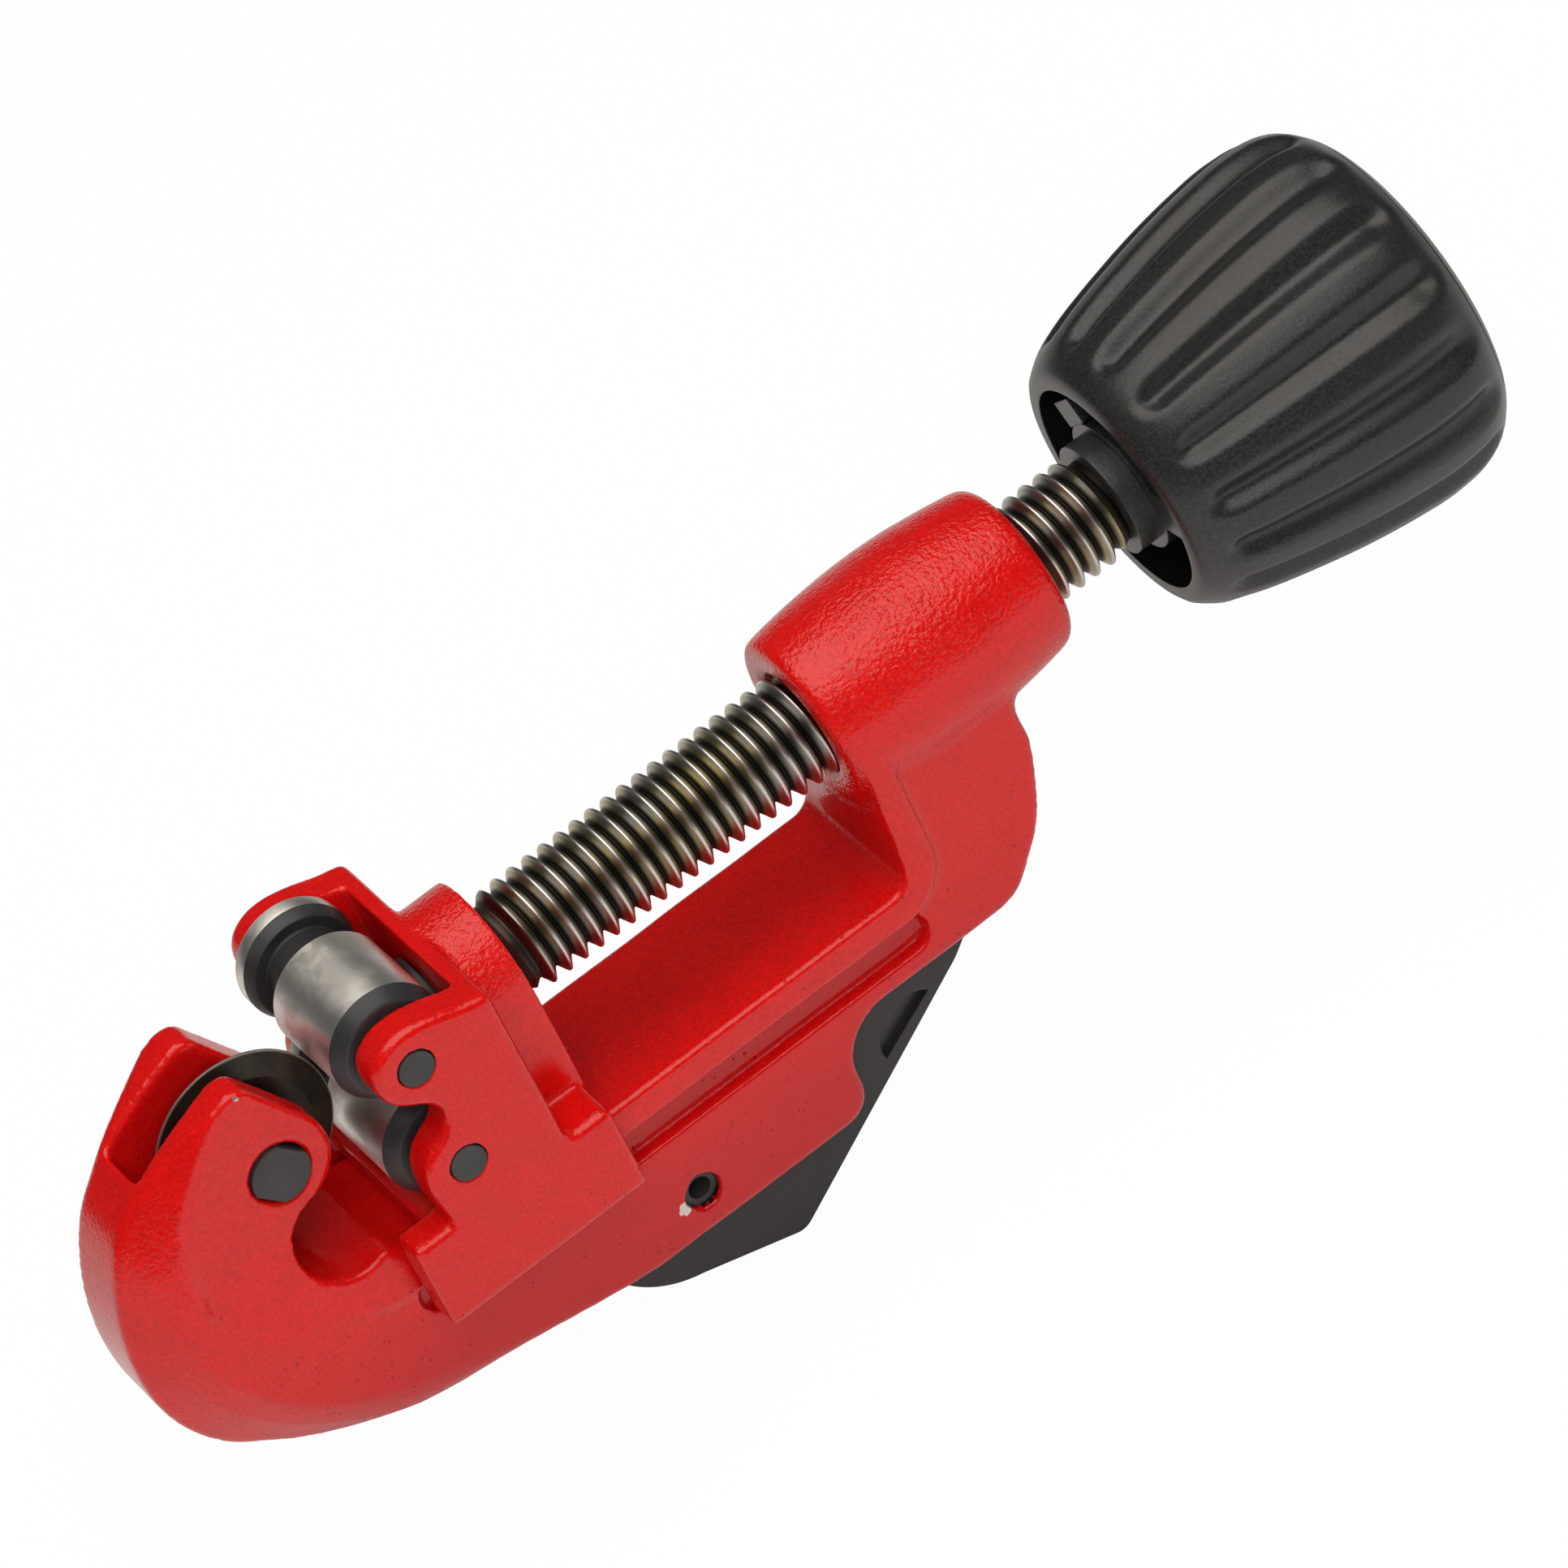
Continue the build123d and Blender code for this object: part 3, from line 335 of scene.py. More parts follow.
def steelMaterial(name, **given):
    spec = {**steelLook, **given}
    mat, tree, shader = newMaterial(name)
    shader.inputs["Metallic"].default_value = spec["metallic"]
    stain = ramp(tree, noiseOf(tree, spec["stainScale"], 4.0, 0.65), 0.35, 0.72)
    colour = mixColour(tree, stain, spec["colour"], spec["stain"])
    tree.links.new(colour, shader.inputs["Base Color"])
    rough = ramp(tree, stain, 0.0, 1.0, spec["roughness"], spec["roughness"] + spec["rougher"])
    tree.links.new(rough, shader.inputs["Roughness"])
    if "brushed" in spec:
        # ground round its axis, so the shine spreads along the axis
        shader.inputs["Anisotropic"].default_value = spec["brushed"]
        shader.inputs["Anisotropic Rotation"].default_value = 0.25
        tangent = addNode(tree, "ShaderNodeTangent", direction_type="RADIAL", axis="Y")
        link(tree, tangent, "Tangent", shader, "Tangent")
    marks = noiseOf(tree, spec["markScale"], 3.0, 0.6, spec["markStretch"])
    addBump(tree, shader, marks, spec["markHeight"], softEdge(tree, spec["edgeRadius"]))
    return mat


groundSteel = steelMaterial(
    "groundSteel", colour=(0.88, 0.86, 0.82, 1), stain=(0.74, 0.72, 0.68, 1), roughness=0.38,
    brushed=0.7, markStretch=(1, 0.5, 1), markScale=1500.0, markHeight=0.012 * mm,
)
# black steel, also laid on the rollers' near end faces as painted shade
blackSteelAndShade = steelMaterial(
    "blackSteelAndShade", colour=(0.034, 0.035, 0.038, 1), stain=(0.055, 0.055, 0.055, 1), roughness=0.42,
    metallic=0.35, markScale=2600.0, markHeight=0.02 * mm,
)
pinSteel = steelMaterial(
    "pinSteel", colour=(0.040, 0.040, 0.041, 1), stain=(0.065, 0.064, 0.062, 1), roughness=0.5,
    metallic=0.2, markScale=2200.0, markHeight=0.03 * mm, edgeRadius=0.2 * mm,
)
plainSteel = steelMaterial(
    "plainSteel", colour=(0.55, 0.54, 0.52, 1), stain=(0.42, 0.41, 0.39, 1), roughness=0.3,
)

screwLook = {
    # painted highlight: the bright colour of the thread crests
    "crest": (0.60, 0.59, 0.56, 1),
    "crestHighlightFrom": (5.66 * mm, 5.94 * mm),
    "worn": (0.310, 0.300, 0.280, 1),
    "straw": (0.385, 0.345, 0.205, 1),
    "strawScale": 130.0,
    "strawStretch": (0.5, 1, 1),
    # painted shade: the near black colour in the thread roots
    "root": (0.020, 0.018, 0.015, 1),
    "rootShadeTo": (4.86 * mm, 5.45 * mm),
    "start": (0.085, 0.062, 0.055, 1),
    "startTo": (23.0 * mm, 25.5 * mm),
    "roughness": (0.55, 0.30),    # at the roots and on the crests
    "markScale": 2600.0,
    "lineScale": 6500.0,
    "relief": 0.010 * mm,
}


def screwMaterial(spec):
    # crests coloured bright as a painted highlight, flanks brown, roots near black as painted shade, and the
    # start stained
    mat, tree, shader = newMaterial("screwSteel")
    shader.inputs["Metallic"].default_value = 1.0
    radius = distanceFrom(tree, (0, 0, 0), (0, 1, 1))
    crest = ramp(tree, radius, *spec["crestHighlightFrom"])
    flank = ramp(tree, radius, *spec["rootShadeTo"])
    straw = ramp(tree, noiseOf(tree, spec["strawScale"], 3.0, 0.6, spec["strawStretch"]), 0.46, 0.60)
    worn = mixColour(tree, straw, spec["worn"], spec["straw"])
    colour = mixColour(tree, crest, mixColour(tree, flank, spec["root"], worn), spec["crest"])
    along = ramp(tree, axesOf(tree, objectPoint(tree))[0], *spec["startTo"])
    colour = mixColour(tree, along, spec["start"], colour)
    tree.links.new(colour, shader.inputs["Base Color"])
    tree.links.new(ramp(tree, flank, 0.0, 1.0, *spec["roughness"]), shader.inputs["Roughness"])
    low = addBump(tree, shader, noiseOf(tree, spec["markScale"], 2.0, 0.6), spec["relief"])
    addBump(tree, shader, turningLines(tree, radius, spec["lineScale"], 2.0), spec["relief"], low)
    return mat


screwSteel = screwMaterial(screwLook)

wheelLook = {
    "metallic": 0.75,
    "roughness": 0.34,
    "bevelFrom": (7.3 * mm, 7.5 * mm),
    "edgeFrom": (9.75 * mm, 9.95 * mm),
    "body": ((0.020, 0.018, 0.015, 1), (0.040, 0.034, 0.024, 1)),
    "bevel": ((0.034, 0.031, 0.027, 1), (0.060, 0.052, 0.038, 1)),
    "edge": (0.36, 0.34, 0.30, 1),
    "smearScale": 300.0,
    "lineScale": 5200.0,
    "relief": 0.012 * mm,
    "edgeRadius": 0.1 * mm,
}


def wheelMaterial(name, spec, centre, weights):
    # blackened, with a ground bevel and faint turning rings about its centre
    mat, tree, shader = newMaterial(name)
    shader.inputs["Metallic"].default_value = spec["metallic"]
    shader.inputs["Roughness"].default_value = spec["roughness"]
    radius = distanceFrom(tree, centre, weights)
    smear = ramp(tree, noiseOf(tree, spec["smearScale"], 4.0, 0.65), 0.4, 0.7)
    body = mixColour(tree, smear, *spec["body"])
    bevel = mixColour(tree, smear, *spec["bevel"])
    colour = mixColour(tree, ramp(tree, radius, *spec["bevelFrom"]), body, bevel)
    colour = mixColour(tree, ramp(tree, radius, *spec["edgeFrom"]), colour, spec["edge"])
    tree.links.new(colour, shader.inputs["Base Color"])
    lines = turningLines(tree, radius, spec["lineScale"], 3.0)
    addBump(tree, shader, lines, spec["relief"], softEdge(tree, spec["edgeRadius"]))
    return mat


wheelSteel = wheelMaterial("wheelSteel", wheelLook, (-10 * mm, 0, 0), (1, 0, 1))
spareSteel = wheelMaterial("spareSteel", wheelLook, (0, 0, 0), (0, 1, 1))


# black plastics: each takes this look and changes what it names

plasticLook = {
    "roughness": 0.34,
    "grainHeight": 0.020 * mm,
    "edgeRadius": 0.25 * mm,
    "dullScale": 70.0,
    "dullShare": 0.5,
}


def plasticMaterial(name, **given):
    spec = {**plasticLook, **given}
    mat, tree, shader = newMaterial(name)
    shader.inputs["Roughness"].default_value = spec["roughness"]
    speck = ramp(tree, noiseOf(tree, spec["speckScale"], 2.0, 0.7), 0.35, 0.68)
    dull = ramp(tree, noiseOf(tree, spec["dullScale"], 4.0, 0.6), 0.4, 0.65)
    colour = mixColour(tree, speck, spec["colour"], spec["speck"])
    colour = mixColour(tree, product(tree, dull, spec["dullShare"]), colour, spec["dull"])
    tree.links.new(colour, shader.inputs["Base Color"])
    grain = noiseOf(tree, spec["grainScale"], 2.0, 0.6)
    addBump(tree, shader, grain, spec["grainHeight"], softEdge(tree, spec["edgeRadius"]))
    return mat


knobPlastic = plasticMaterial(
    "knobPlastic", colour=(0.0095, 0.0105, 0.0120, 1), speck=(0.029, 0.030, 0.032, 1),
    dull=(0.019, 0.0175, 0.0125, 1), speckScale=3200.0, grainScale=2600.0, edgeRadius=0.3 * mm,
)
bushPlastic = plasticMaterial(
    "bushPlastic", colour=(0.030, 0.030, 0.029, 1), speck=(0.044, 0.044, 0.042, 1),
    dull=(0.022, 0.022, 0.021, 1), speckScale=3000.0, grainScale=1200.0, grainHeight=0.05 * mm,
)
holderPlastic = plasticMaterial(
    "holderPlastic", colour=(0.020, 0.021, 0.021, 1), speck=(0.034, 0.034, 0.034, 1),
    dull=(0.024, 0.024, 0.022, 1), roughness=0.5, speckScale=4200.0, grainScale=3000.0,
)

finishes = {
    "frame_casting": frameEnamel, "carriage": carriageEnamel,
    "cutting_wheel": wheelSteel, "spare_wheel": spareSteel,
    "wheel_axle": pinSteel, "axle_clip": blackSteelAndShade,
    "upper_roller": groundSteel, "lower_roller": groundSteel,
    "upper_roller_pin": pinSteel, "lower_roller_pin": pinSteel,
    "feed_screw": screwSteel, "screw_retaining_ring": blackSteelAndShade,
    "knob_body": knobPlastic, "knob_cap": knobPlastic, "knob_bush": bushPlastic,
    "knob_washer": plainSteel, "knob_screw": plainSteel,
    "reamer_holder": holderPlastic, "reamer_blade": plainSteel,
    "reamer_rivet": plainSteel, "reamer_pivot_pin": pinSteel,
}
for nodeName, finish in finishes.items():
    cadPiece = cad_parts[nodeName]
    cadPiece.data.materials.clear()
    cadPiece.data.materials.append(finish)
print("materials given to the cad nodes")


# mesh helpers

def finishPiece(bm, name, material, body, smoothAngle):
    mesh = bpy.data.meshes.new(name)
    bmesh.ops.recalc_face_normals(bm, faces=bm.faces)
    for face in bm.faces:
        face.smooth = True
    for edge in bm.edges:
        if len(edge.link_faces) == 2 and edge.calc_face_angle(0.0) > math.radians(smoothAngle):
            edge.smooth = False
    bm.to_mesh(mesh)
    bm.free()
    piece = bpy.data.objects.new(name, mesh)
    bpy.context.collection.objects.link(piece)
    mesh.materials.append(material)
    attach(piece, body)
    return piece


def profileEdges(bm, points):
    verts = [bm.verts.new(Vector(p)) for p in points]
    return verts + [bm.edges.new((a, b)) for a, b in zip(verts, verts[1:])]


def spinRound(bm, geom, steps, centre=(0, 0, 0), axis=(1, 0, 0)):
    bmesh.ops.spin(bm, geom=geom, cent=centre, axis=axis, angle=math.tau, steps=steps, use_merge=True)


def smoothVerts(bm, verts):
    bmesh.ops.smooth_vert(bm, verts=verts, factor=0.5, use_axis_x=True, use_axis_y=True, use_axis_z=True)


# castings, their edges softened as a sand mould and thick enamel leave them

castings = {
    "frameCasting": {
        "node": "frame_casting",
        "body": "frame",
        "voxel": 0.46 * mm,
        "rounds": 3,
        # the outside of the bend rolls over into its flat
        "bend": {
            "centre": (-2.0 * mm, -8.0 * mm),
            "turns": 110,
            "reach": (22.8 * mm, 25.0 * mm),
            "reachIn": 0.25,    # share of the turns in which the reach grows
            "until": (21.0 * mm, -4.0 * mm),
            "side": 7.6 * mm,
            "groove": {"from": -7.5 * mm, "low": -28.5 * mm, "top": -19.0 * mm},
        },
        "root": {"place": (-23.5 * mm, -8.5 * mm), "reach": 6.0 * mm, "side": 6.5 * mm, "turns": 8},
        # low corner, high corner, soft margin and way of each small pull, in millimetres
        "pulls": [
            ((70.0, -12.0, -40.0), (90.0, 12.0, -13.0), 6.0, (0.8, 0, 0)),
            ((82.0, -12.0, -10.0), (92.0, 12.0, 14.0), 3.0, (-0.5, 0, 0)),
            ((-4.0, -12.0, -60.0), (18.0, 12.0, -38.0), 9.0, (0, 0, -0.5)),
            ((-34.0, -12.0, -32.0), (-27.0, 12.0, 12.0), 3.0, (-0.55, 0, 0)),
        ],
    },
    "carriageCasting": {"node": "carriage", "body": "slide", "voxel": 0.32 * mm, "rounds": 4},
}
skin = {"weld": 0.003 * mm, "wave": 0.05 * mm, "waveScale": 140.0, "inward": 0.35}


def rollBend(bm, bend):
    # each turn smooths what lies out from the centre, and less far along
    centreX, centreZ = bend["centre"]
    near, far = bend["reach"]
    first, last = bend["until"]
    groove = bend["groove"]
    outer = [
        (v, math.hypot(v.co.x - centreX, v.co.z - centreZ)) for v in bm.verts
        if v.co.x < first and abs(v.co.y) > bend["side"]
        and not (v.co.x > groove["from"] and groove["low"] < v.co.z < groove["top"])
    ]
    for turn in range(bend["turns"]):
        share = turn / bend["turns"]
        reach = near + (far - near) * min(share / bend["reachIn"], 1.0)
        until = first + (last - first) * math.sqrt(share)
        smoothVerts(bm, [v for v, away in outer if away > reach and v.co.x < until])


def softenRoot(bm, root):
    rootX, rootZ = root["place"]
    region = [
        v for v in bm.verts
        if math.hypot(v.co.x - rootX, v.co.z - rootZ) < root["reach"] and abs(v.co.y) > root["side"]
    ]
    for turn in range(root["turns"]):
        smoothVerts(bm, region)


def pullSkin(bm, pulls):
    for low, high, margin, way in pulls:
        for vert in bm.verts:
            share = 1.0
            for at, lowest, highest in zip(vert.co / mm, low, high):
                share *= min(max(min(at - lowest, highest - at) / margin + 1.0, 0.0), 1.0)
            if share:
                vert.co += Vector(way) * mm * share * share * (3.0 - 2.0 * share)


def evenMesh(piece, voxel):
    # the piece remeshed to even quads
    remesh = piece.modifiers.new("remesh", "REMESH")
    remesh.mode = "VOXEL"
    remesh.voxel_size = voxel
    graph = bpy.context.evaluated_depsgraph_get()
    even = bpy.data.meshes.new_from_object(piece.evaluated_get(graph))
    piece.modifiers.clear()
    return even


def castSkin(name, spec, material):
    bm = bmesh.new()
    bm.from_mesh(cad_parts[spec["node"]].data)
    bmesh.ops.remove_doubles(bm, verts=bm.verts, dist=skin["weld"])
    mesh = bpy.data.meshes.new(name)
    bm.to_mesh(mesh)
    bm.free()
    piece = bpy.data.objects.new(name, mesh)
    bpy.context.collection.objects.link(piece)
    even = evenMesh(piece, spec["voxel"])
    bm = bmesh.new()
    bm.from_mesh(even)
    for turn in range(spec["rounds"]):
        smoothVerts(bm, bm.verts)
    if "bend" in spec:
        rollBend(bm, spec["bend"])
        softenRoot(bm, spec["root"])
        pullSkin(bm, spec["pulls"])
    # a faint wave over the whole skin
    bm.normal_update()
    moves = [
        v.normal * skin["wave"] * (noise.noise(v.co * skin["waveScale"]) - skin["inward"])
        for v in bm.verts
    ]
    for vert, move in zip(bm.verts, moves):
        vert.co += move
    for face in bm.faces:
        face.smooth = True
    bm.to_mesh(even)
    bm.free()
    piece.data = even
    bpy.data.meshes.remove(mesh)
    even.name = name
    even.materials.clear()
    even.materials.append(material)
    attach(piece, spec["body"])
    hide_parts(spec["node"])
    print(name, len(even.polygons), "faces")


castSkin("frameCasting", castings["frameCasting"], frameEnamel)
castSkin("carriageCasting", castings["carriageCasting"], carriageEnamel)


# knob: body with rounded flutes, hollow behind the rim, and the cap that closes it
# points are (place from the rim, radius) in millimetres

knob = {
    "outside": [
        (0.0, 13.9), (0.22, 14.35), (0.6, 14.7), (1.4, 15.3), (2.5, 16.0), (4.4, 16.8), (6.5, 17.5),
        (9.5, 18.3), (12.5, 19.0), (15.5, 19.65), (18.5, 20.2), (21.5, 20.65), (24.5, 21.0),
        (27.0, 21.22), (29.5, 21.2), (32.0, 20.95), (34.0, 20.3), (35.4, 19.45), (36.55, 18.3),
    ],
    "inside": [
        (36.55, 16.5), (27.6, 16.5), (27.6, 4.42), (0.6, 4.42), (0.6, 7.7),
        (25.0, 7.7), (25.0, 18.6), (12.5, 16.6), (1.0, 13.1), (0.0, 12.3),
    ],
    # a line within the wall that tells its outside from its inside
    "within": {
        "until": 36.5, "first": 15.6, "slope": 0.13, "most": 18.95,
        "endFrom": 34.0, "endMost": 18.0,
    },
    "rowStep": 0.75,
    "steps": 320,
    "flutes": {
        "count": 16, "phase": -9.0, "depth": 1.35, "from": 2.6, "to": 35.6,
        "half": (2.2, 3.0), "widens": (2.0, 30.0),
    },
    "ribs": {"count": 3, "turn": 55.0, "inner": 7.6, "outer": 10.6, "width": 5.0, "from": 0.6, "to": 25.4},
    "cap": [(36.62, 18.22), (37.3, 17.2), (38.0, 15.0), (38.7, 11.0), (39.2, 5.5), (39.4, 0.0)],
    "capBack": [(37.4, 0.0), (37.0, 10.0), (36.62, 16.4)],
    "capRowStep": 0.5,
    "capSteps": 128,
    "smoothAngle": 40.0,
    "weld": 0.002 * mm,
}


def curveThrough(points, step):
    # even rows along a smooth line through the points
    spline = bpy.data.curves.new("rows", "CURVE")
    line = spline.splines.new("BEZIER")
    line.bezier_points.add(len(points) - 1)
    for knot, (x, r) in zip(line.bezier_points, points):
        knot.co = (x, r, 0)
        knot.handle_left_type = knot.handle_right_type = "AUTO"
    spline.resolution_u = 6
    holder = bpy.data.objects.new("rows", spline)
    mesh = holder.to_mesh()
    rows = [(v.co.x, v.co.y) for v in mesh.vertices]
    holder.to_mesh_clear()
    bpy.data.objects.remove(holder)
    bpy.data.curves.remove(spline)
    kept = [rows[0]]
    for row in rows[1:-1]:
        if math.dist(row, kept[-1]) >= step and math.dist(row, rows[-1]) > step / 2:
            kept.append(row)
    return kept + [rows[-1]]


def onOutside(within, x, radius):
    most = within["most"] if x < within["endFrom"] else within["endMost"]
    return x < within["until"] and radius > min(within["first"] + within["slope"] * x, most)


def fluteDepth(flutes, x, radius, angle):
    pitch = math.tau / flutes["count"]
    off = (angle - math.radians(flutes["phase"]) + pitch / 2) % pitch - pitch / 2
    widensFrom, widensTo = flutes["widens"]
    narrow, wide = flutes["half"]
    share = min(max((x - widensFrom) / (widensTo - widensFrom), 0.0), 1.0)
    half = narrow + (wide - narrow) * share
    beyond = max(0.0, flutes["from"] + half - x, x - flutes["to"] + half)
    away = math.hypot(off * radius, beyond) / half
    if away >= 1.0:
        return 0.0
    return flutes["depth"] * (1.0 - away * away * (3.0 - 2.0 * away))


def addRib(bm, ribs, left, index):
    length, height = ribs["to"] - ribs["from"], ribs["outer"] - ribs["inner"]
    made = bmesh.ops.create_cube(bm, size=1.0)["verts"]
    bmesh.ops.scale(bm, verts=made, vec=(length * mm, ribs["width"] * mm, height * mm))
    middle = (left + (ribs["from"] + ribs["to"]) / 2 * mm, 0, (ribs["inner"] + ribs["outer"]) / 2 * mm)
    bmesh.ops.translate(bm, verts=made, vec=middle)
    around = math.radians(ribs["turn"] + index * 360 / ribs["count"]) - math.pi / 2
    bmesh.ops.rotate(bm, verts=made, cent=(0, 0, 0), matrix=Matrix.Rotation(around, 3, "X"))


def makeKnobGrip(spec, left):
    bm = bmesh.new()
    ring = curveThrough(spec["outside"], spec["rowStep"]) + spec["inside"]
    verts = [bm.verts.new((left + x * mm, 0, r * mm)) for x, r in ring]
    edges = [bm.edges.new((a, b)) for a, b in zip(verts, verts[1:] + verts[:1])]
    spinRound(bm, verts + edges, spec["steps"])
    for vert in bm.verts:
        x = (vert.co.x - left) / mm
        radius = math.hypot(vert.co.y, vert.co.z) / mm
        if onOutside(spec["within"], x, radius):
            cut = fluteDepth(spec["flutes"], x, radius, math.atan2(vert.co.z, -vert.co.y))
            vert.co.y *= (radius - cut) / radius
            vert.co.z *= (radius - cut) / radius
    for index in range(spec["ribs"]["count"]):
        addRib(bm, spec["ribs"], left, index)
    piece = finishPiece(bm, "knobGrip", knobPlastic, "spindle", spec["smoothAngle"])
    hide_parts("knob_body")


def makeKnobCap(spec, left):
    bm = bmesh.new()
    ring = curveThrough(spec["cap"], spec["capRowStep"]) + spec["capBack"]
    geom = profileEdges(bm, [(left + x * mm, 0, r * mm) for x, r in ring])
    geom.append(bm.edges.new((geom[0], geom[len(ring) - 1])))
    spinRound(bm, geom, spec["capSteps"])
    bmesh.ops.remove_doubles(bm, verts=bm.verts, dist=spec["weld"])
    piece = finishPiece(bm, "knobCap", knobPlastic, "spindle", spec["smoothAngle"])
    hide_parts("knob_cap")


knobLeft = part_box("knob_body")[0][0]
makeKnobGrip(knob, knobLeft)
makeKnobCap(knob, knobLeft)
print("castings and knob made")


# feed screw with its rolled thread

screw = {
    "crest": 6.0 * mm,
    "root": 4.78 * mm,
    "pitch": 2.0 * mm,
    "start": 21.9 * mm,
    "stop": 99.5 * mm,
    "steps": 64,
    # one turn of the thread: place along it in millimetres, and share of its depth
    "shape": [
        (-0.09, 1.0), (0.09, 1.0), (0.17, 0.95), (0.82, 0.06),
        (0.93, 0.0), (1.07, 0.0), (1.18, 0.06), (1.83, 0.95),
    ],
    "chamfer": 2.3 * mm,
    "end": 0.1 * mm,    # height of the thread left at both ends
    # places along the screw and radii, in millimetres
    "journal": [(12.0, 0), (12.0, 3.4), (12.5, 4.0), (21.5, 4.0), (21.5, 4.6), (22.4, 4.6), (22.4, 0)],
    "shank": [(99.0, 0), (99.0, 4.4), (129.0, 4.4), (129.0, 0)],
    "plainSteps": 48,
    "smoothAngle": 50.0,
    "weld": 0.002 * mm,
}


def windThread(bm, spec):
    # three turns too many, two of them before the start, and then both ends cut square
    depth = spec["crest"] - spec["root"]
    turns = int(round((spec["stop"] - spec["start"]) / spec["pitch"])) + 3
    points = [
        (spec["start"] + (turn - 2) * spec["pitch"] + x * mm, 0, spec["root"] + depth * height)
        for turn in range(turns) for x, height in spec["shape"]
    ]
    bmesh.ops.spin(
        bm, geom=profileEdges(bm, points), cent=(0, 0, 0), axis=(1, 0, 0),
        dvec=Vector((spec["pitch"] / spec["steps"], 0, 0)), angle=math.tau, steps=spec["steps"],
    )
    bmesh.ops.remove_doubles(bm, verts=bm.verts, dist=spec["weld"])
    for at, way in ((spec["start"], -1), (spec["stop"], 1)):
        everything = bm.verts[:] + bm.edges[:] + bm.faces[:]
        bmesh.ops.bisect_plane(
            bm, geom=everything, plane_co=(at, 0, 0), plane_no=(way, 0, 0), clear_outer=True,
        )
    bmesh.ops.edgeloop_fill(bm, edges=[e for e in bm.edges if e.is_boundary])
    for vert in bm.verts:
        inward = max(min(vert.co.x - spec["start"], spec["stop"] - vert.co.x), 0)
        radius = math.hypot(vert.co.y, vert.co.z)
        most = spec["root"] + spec["end"] + inward * depth / spec["chamfer"]
        if radius > most:
            vert.co.y *= most / radius
            vert.co.z *= most / radius


def makeScrew(spec):
    bm = bmesh.new()
    windThread(bm, spec)
    for plain in (spec["journal"], spec["shank"]):
        spinRound(bm, profileEdges(bm, [(x * mm, 0, r * mm) for x, r in plain]), spec["plainSteps"])
    return finishPiece(bm, "feedScrewThread", screwSteel, "spindle", spec["smoothAngle"])


feedScrew = makeScrew(screw)
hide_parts("feed_screw")
print("feed screw made")


# rollers, ground on the drum and blackened in the groove and on the chamfer, with the near end face black as
# painted shade

roller = {
    # place along the roller, radius, and 1 where the stretch after it is black
    "profile": [
        # the first stretch, the near end face, is black as painted shade beside the cheek
        (-10.70, 2.05, 1), (-10.70, 5.15, 1), (-10.62, 5.30, 1), (-10.45, 5.44, 1), (-9.25, 6.30, 1),
        (-9.05, 6.40, 0), (2.40, 6.40, 0), (2.55, 6.34, 0), (2.60, 6.20, 1), (2.60, 4.60, 1),
        (2.80, 4.40, 1), (7.20, 4.40, 1), (7.40, 4.60, 1), (7.40, 5.70, 1), (7.50, 5.80, 1), (8.60, 6.34, 1),
        (8.75, 6.40, 0), (10.40, 6.40, 0), (10.62, 6.30, 0), (10.70, 6.10, 0), (10.70, 2.05, 0),
    ],
    "steps": 96,
    "alongWithin": 0.02,
    "radiusWithin": 0.06,
    "smoothAngle": 25.0,
}


def makeRoller(name, node, body, spec):
    low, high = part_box(node)
    x, z = (low[0] + high[0]) / 2, (low[2] + high[2]) / 2
    bm = bmesh.new()
    geom = profileEdges(bm, [(x + r * mm, y * mm, z) for y, r, dark in spec["profile"]])
    spinRound(bm, geom, spec["steps"], (x, 0, z), (0, 1, 0))
    for face in bm.faces:
        centre = face.calc_center_median()
        reach = math.hypot(centre.x - x, centre.z - z) / mm
        for (y0, r0, dark), (y1, r1, after) in zip(spec["profile"], spec["profile"][1:]):
            along = abs(centre.y / mm - (y0 + y1) / 2)
            out = abs(reach - (r0 + r1) / 2)
            if along < spec["alongWithin"] and out < spec["radiusWithin"]:
                face.material_index = dark
    piece = finishPiece(bm, name, groundSteel, body, spec["smoothAngle"])
    piece.data.materials.append(blackSteelAndShade)
    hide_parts(node)


makeRoller("upperRollerDrum", "upper_roller", "upper_roller", roller)
makeRoller("lowerRollerDrum", "lower_roller", "lower_roller", roller)
print("rollers made")


# floor, lights and camera

# the camera faces its aim from the near side, turned about the upright, raised and rolled, in degrees
camera = {
    "aim": (57.45 * mm, 4.58 * mm, -8.95 * mm),
    "distance": 935.3 * mm,
    "turn": -15.59,
    "raised": 39.43,
    "roll": -26.73,
    "lens": 210.8,
    "sensor": 36.0,
    "clipEnd": 20,
}
cameraData = bpy.data.cameras.new("camera")
cameraData.lens = camera["lens"]
cameraData.sensor_width = camera["sensor"]
cameraData.clip_end = camera["clipEnd"]
cameraObject = bpy.data.objects.new("camera", cameraData)
bpy.context.collection.objects.link(cameraObject)
cameraTurn = Matrix.Rotation(math.radians(camera["turn"]), 4, "Z")
cameraTurn @= Matrix.Rotation(math.radians(90.0 - camera["raised"]), 4, "X")
cameraTurn @= Matrix.Rotation(math.radians(camera["roll"]), 4, "Z")
stepBack = Matrix.Translation((0, 0, camera["distance"]))
cameraObject.matrix_world = Matrix.Translation(camera["aim"]) @ cameraTurn @ stepBack
bpy.context.scene.camera = cameraObject

floorSpec = {
    "size": 6.0, "below": 0.3 * mm, "colour": 0.93, "roughness": 0.9, "glow": 0.97, "mirrored": 0.12,
}
bm = bmesh.new()
bmesh.ops.create_grid(bm, x_segments=1, y_segments=1, size=floorSpec["size"])
bmesh.ops.translate(bm, verts=bm.verts, vec=(0, 0, cadBox[0][2] - floorSpec["below"]))
floorMesh = bpy.data.meshes.new("floor")
bm.to_mesh(floorMesh)
bm.free()
floor = bpy.data.objects.new("floor", floorMesh)
bpy.context.collection.objects.link(floor)


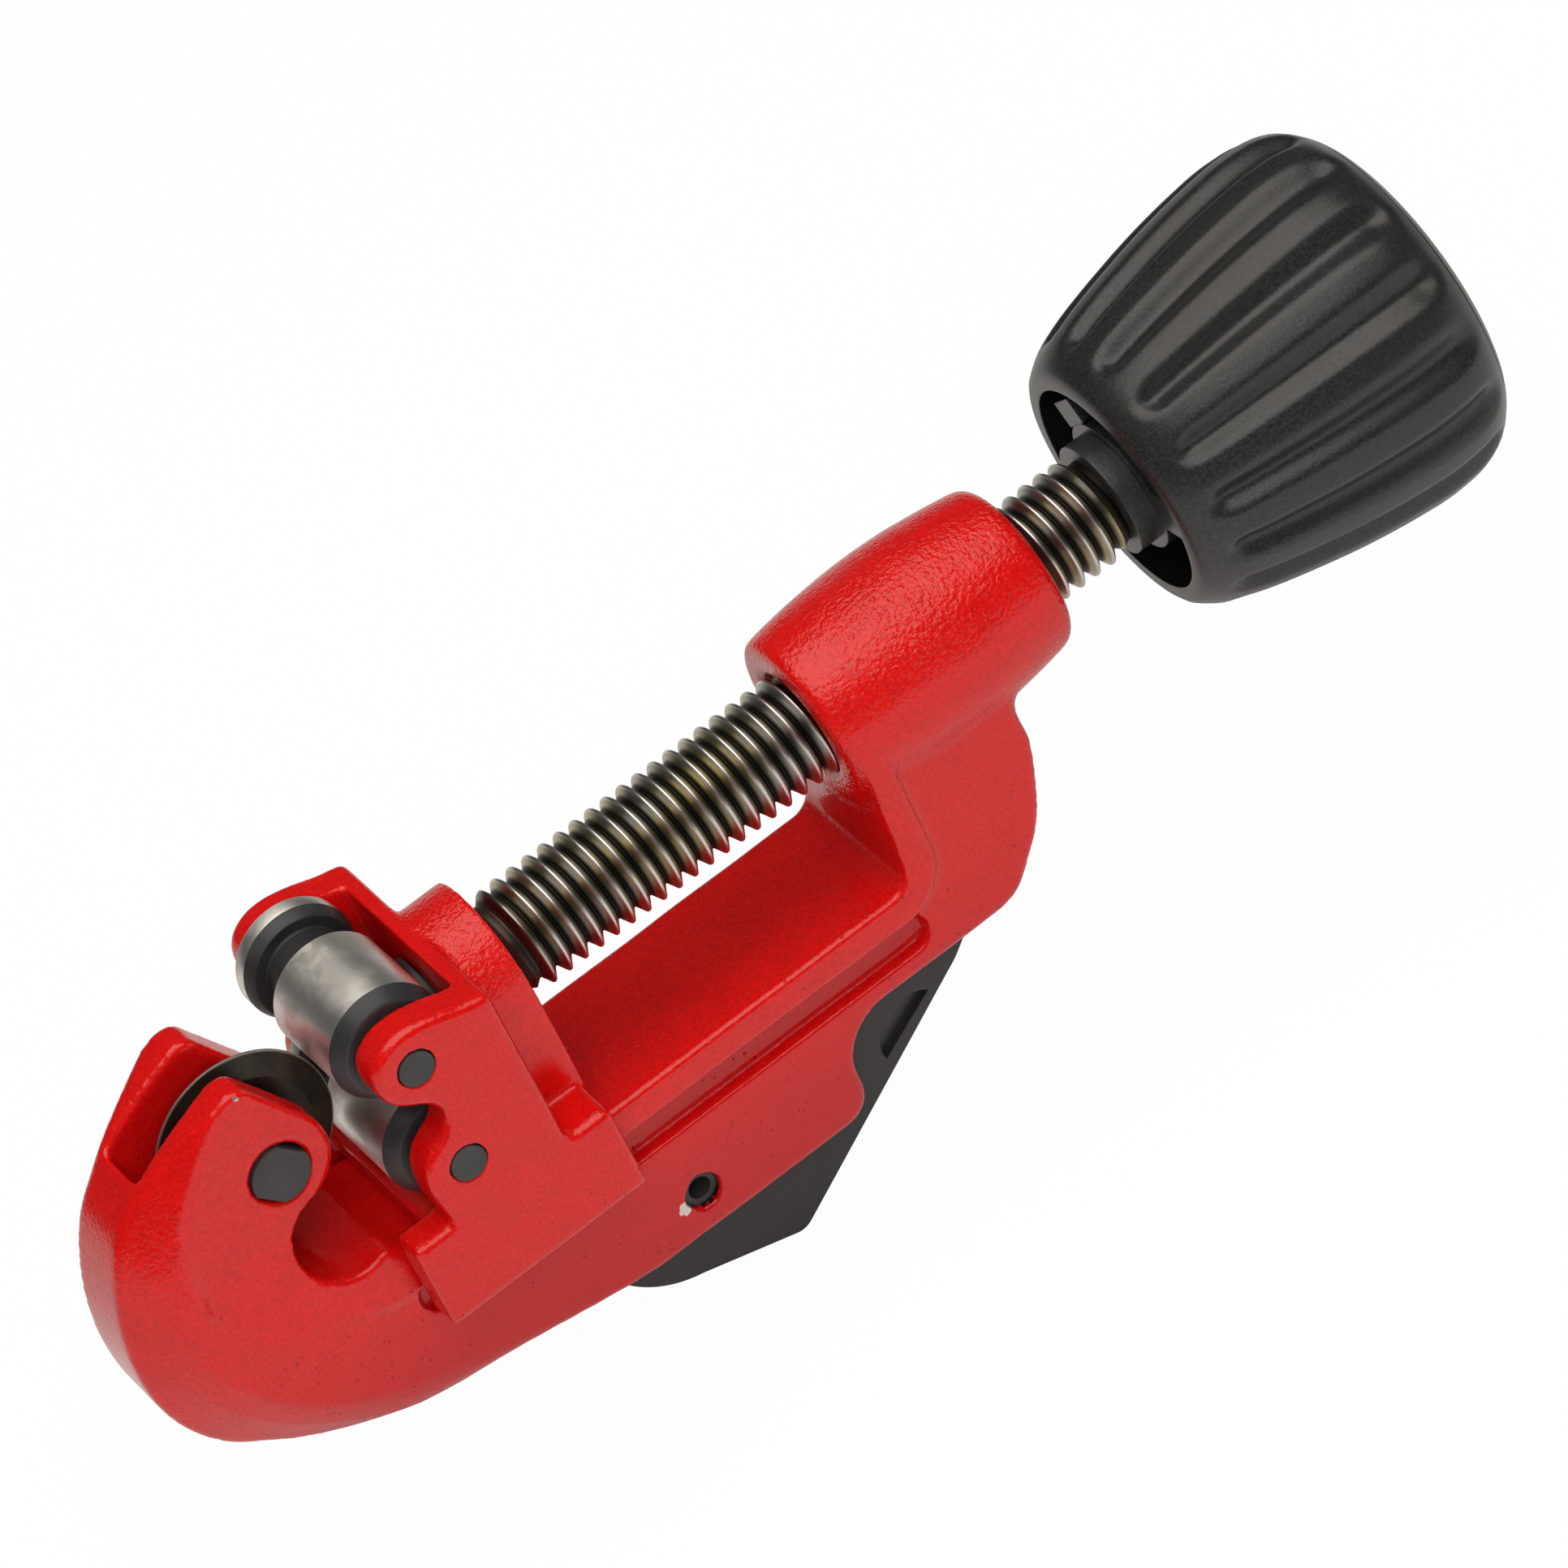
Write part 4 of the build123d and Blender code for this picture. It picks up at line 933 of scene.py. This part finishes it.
def whiteWhereSeen(tree, seenLevel, mirroredLevel):
    # a level for what the camera sees directly, and another for reflections
    rays = addNode(tree, "ShaderNodeLightPath")
    seen = larger(tree, rays.outputs["Is Camera Ray"], rays.outputs["Is Transmission Ray"])
    mirrored = product(tree, rays.outputs["Is Glossy Ray"], mirroredLevel)
    return larger(tree, product(tree, seen, seenLevel), mirrored)


floorMat, tree, shader = newMaterial("floorPaint")
shader.inputs["Base Color"].default_value = grey(floorSpec["colour"])
shader.inputs["Roughness"].default_value = floorSpec["roughness"]
shader.inputs["Specular IOR Level"].default_value = 0.0
glow = addNode(tree, "ShaderNodeEmission", in_Color=grey(1.0), in_Strength=1.0)
blend = addNode(tree, "ShaderNodeMixShader")
level = whiteWhereSeen(tree, floorSpec["glow"], floorSpec["mirrored"])
tree.links.new(level, blend.inputs["Fac"])
tree.links.new(shader.outputs["BSDF"], blend.inputs[1])
tree.links.new(glow.outputs["Emission"], blend.inputs[2])
link(tree, blend, "Shader", tree.nodes["Material Output"], "Surface")
floorMesh.materials.append(floorMat)

sky = {"seen": 1.0, "mirrored": 0.08, "fill": 0.07}
world = bpy.context.scene.world or bpy.data.worlds.new("world")
bpy.context.scene.world = world
world.use_nodes = True
tree = world.node_tree
level = larger(tree, whiteWhereSeen(tree, sky["seen"], sky["mirrored"]), sky["fill"])
tree.nodes["Background"].inputs["Color"].default_value = grey(1.0)
tree.links.new(level, tree.nodes["Background"].inputs["Strength"])

# each lamp stands its way from the middle of the object and faces it
lamps = {
    "softbox": {
        "way": (0.05, -0.12, 1.0), "size": 1.15, "power": 10.2,
        "colour": (1.0, 0.94, 0.85), "shine": True,
    },
    "front": {
        "way": (-0.25, -0.9, 0.8), "size": 0.8, "power": 6.0,
        "colour": (0.97, 0.99, 1.0), "shine": False,
    },
}
middle = Vector([(a + b) / 2 for a, b in zip(*cadBox)])
for lampName, spec in lamps.items():
    lampData = bpy.data.lights.new(lampName, "AREA")
    lampData.size = spec["size"]
    lampData.energy = spec["power"]
    lampData.color = spec["colour"]
    lamp = bpy.data.objects.new(lampName, lampData)
    bpy.context.collection.objects.link(lamp)
    lamp.visible_glossy = spec["shine"]
    place = middle + Vector(spec["way"])
    facing = (middle - place).to_track_quat("-Z", "Y").to_matrix().to_4x4()
    lamp.matrix_world = Matrix.Translation(place) @ facing
print("floor, camera and lamps placed")

bpy.context.scene.view_settings.view_transform = "Standard"
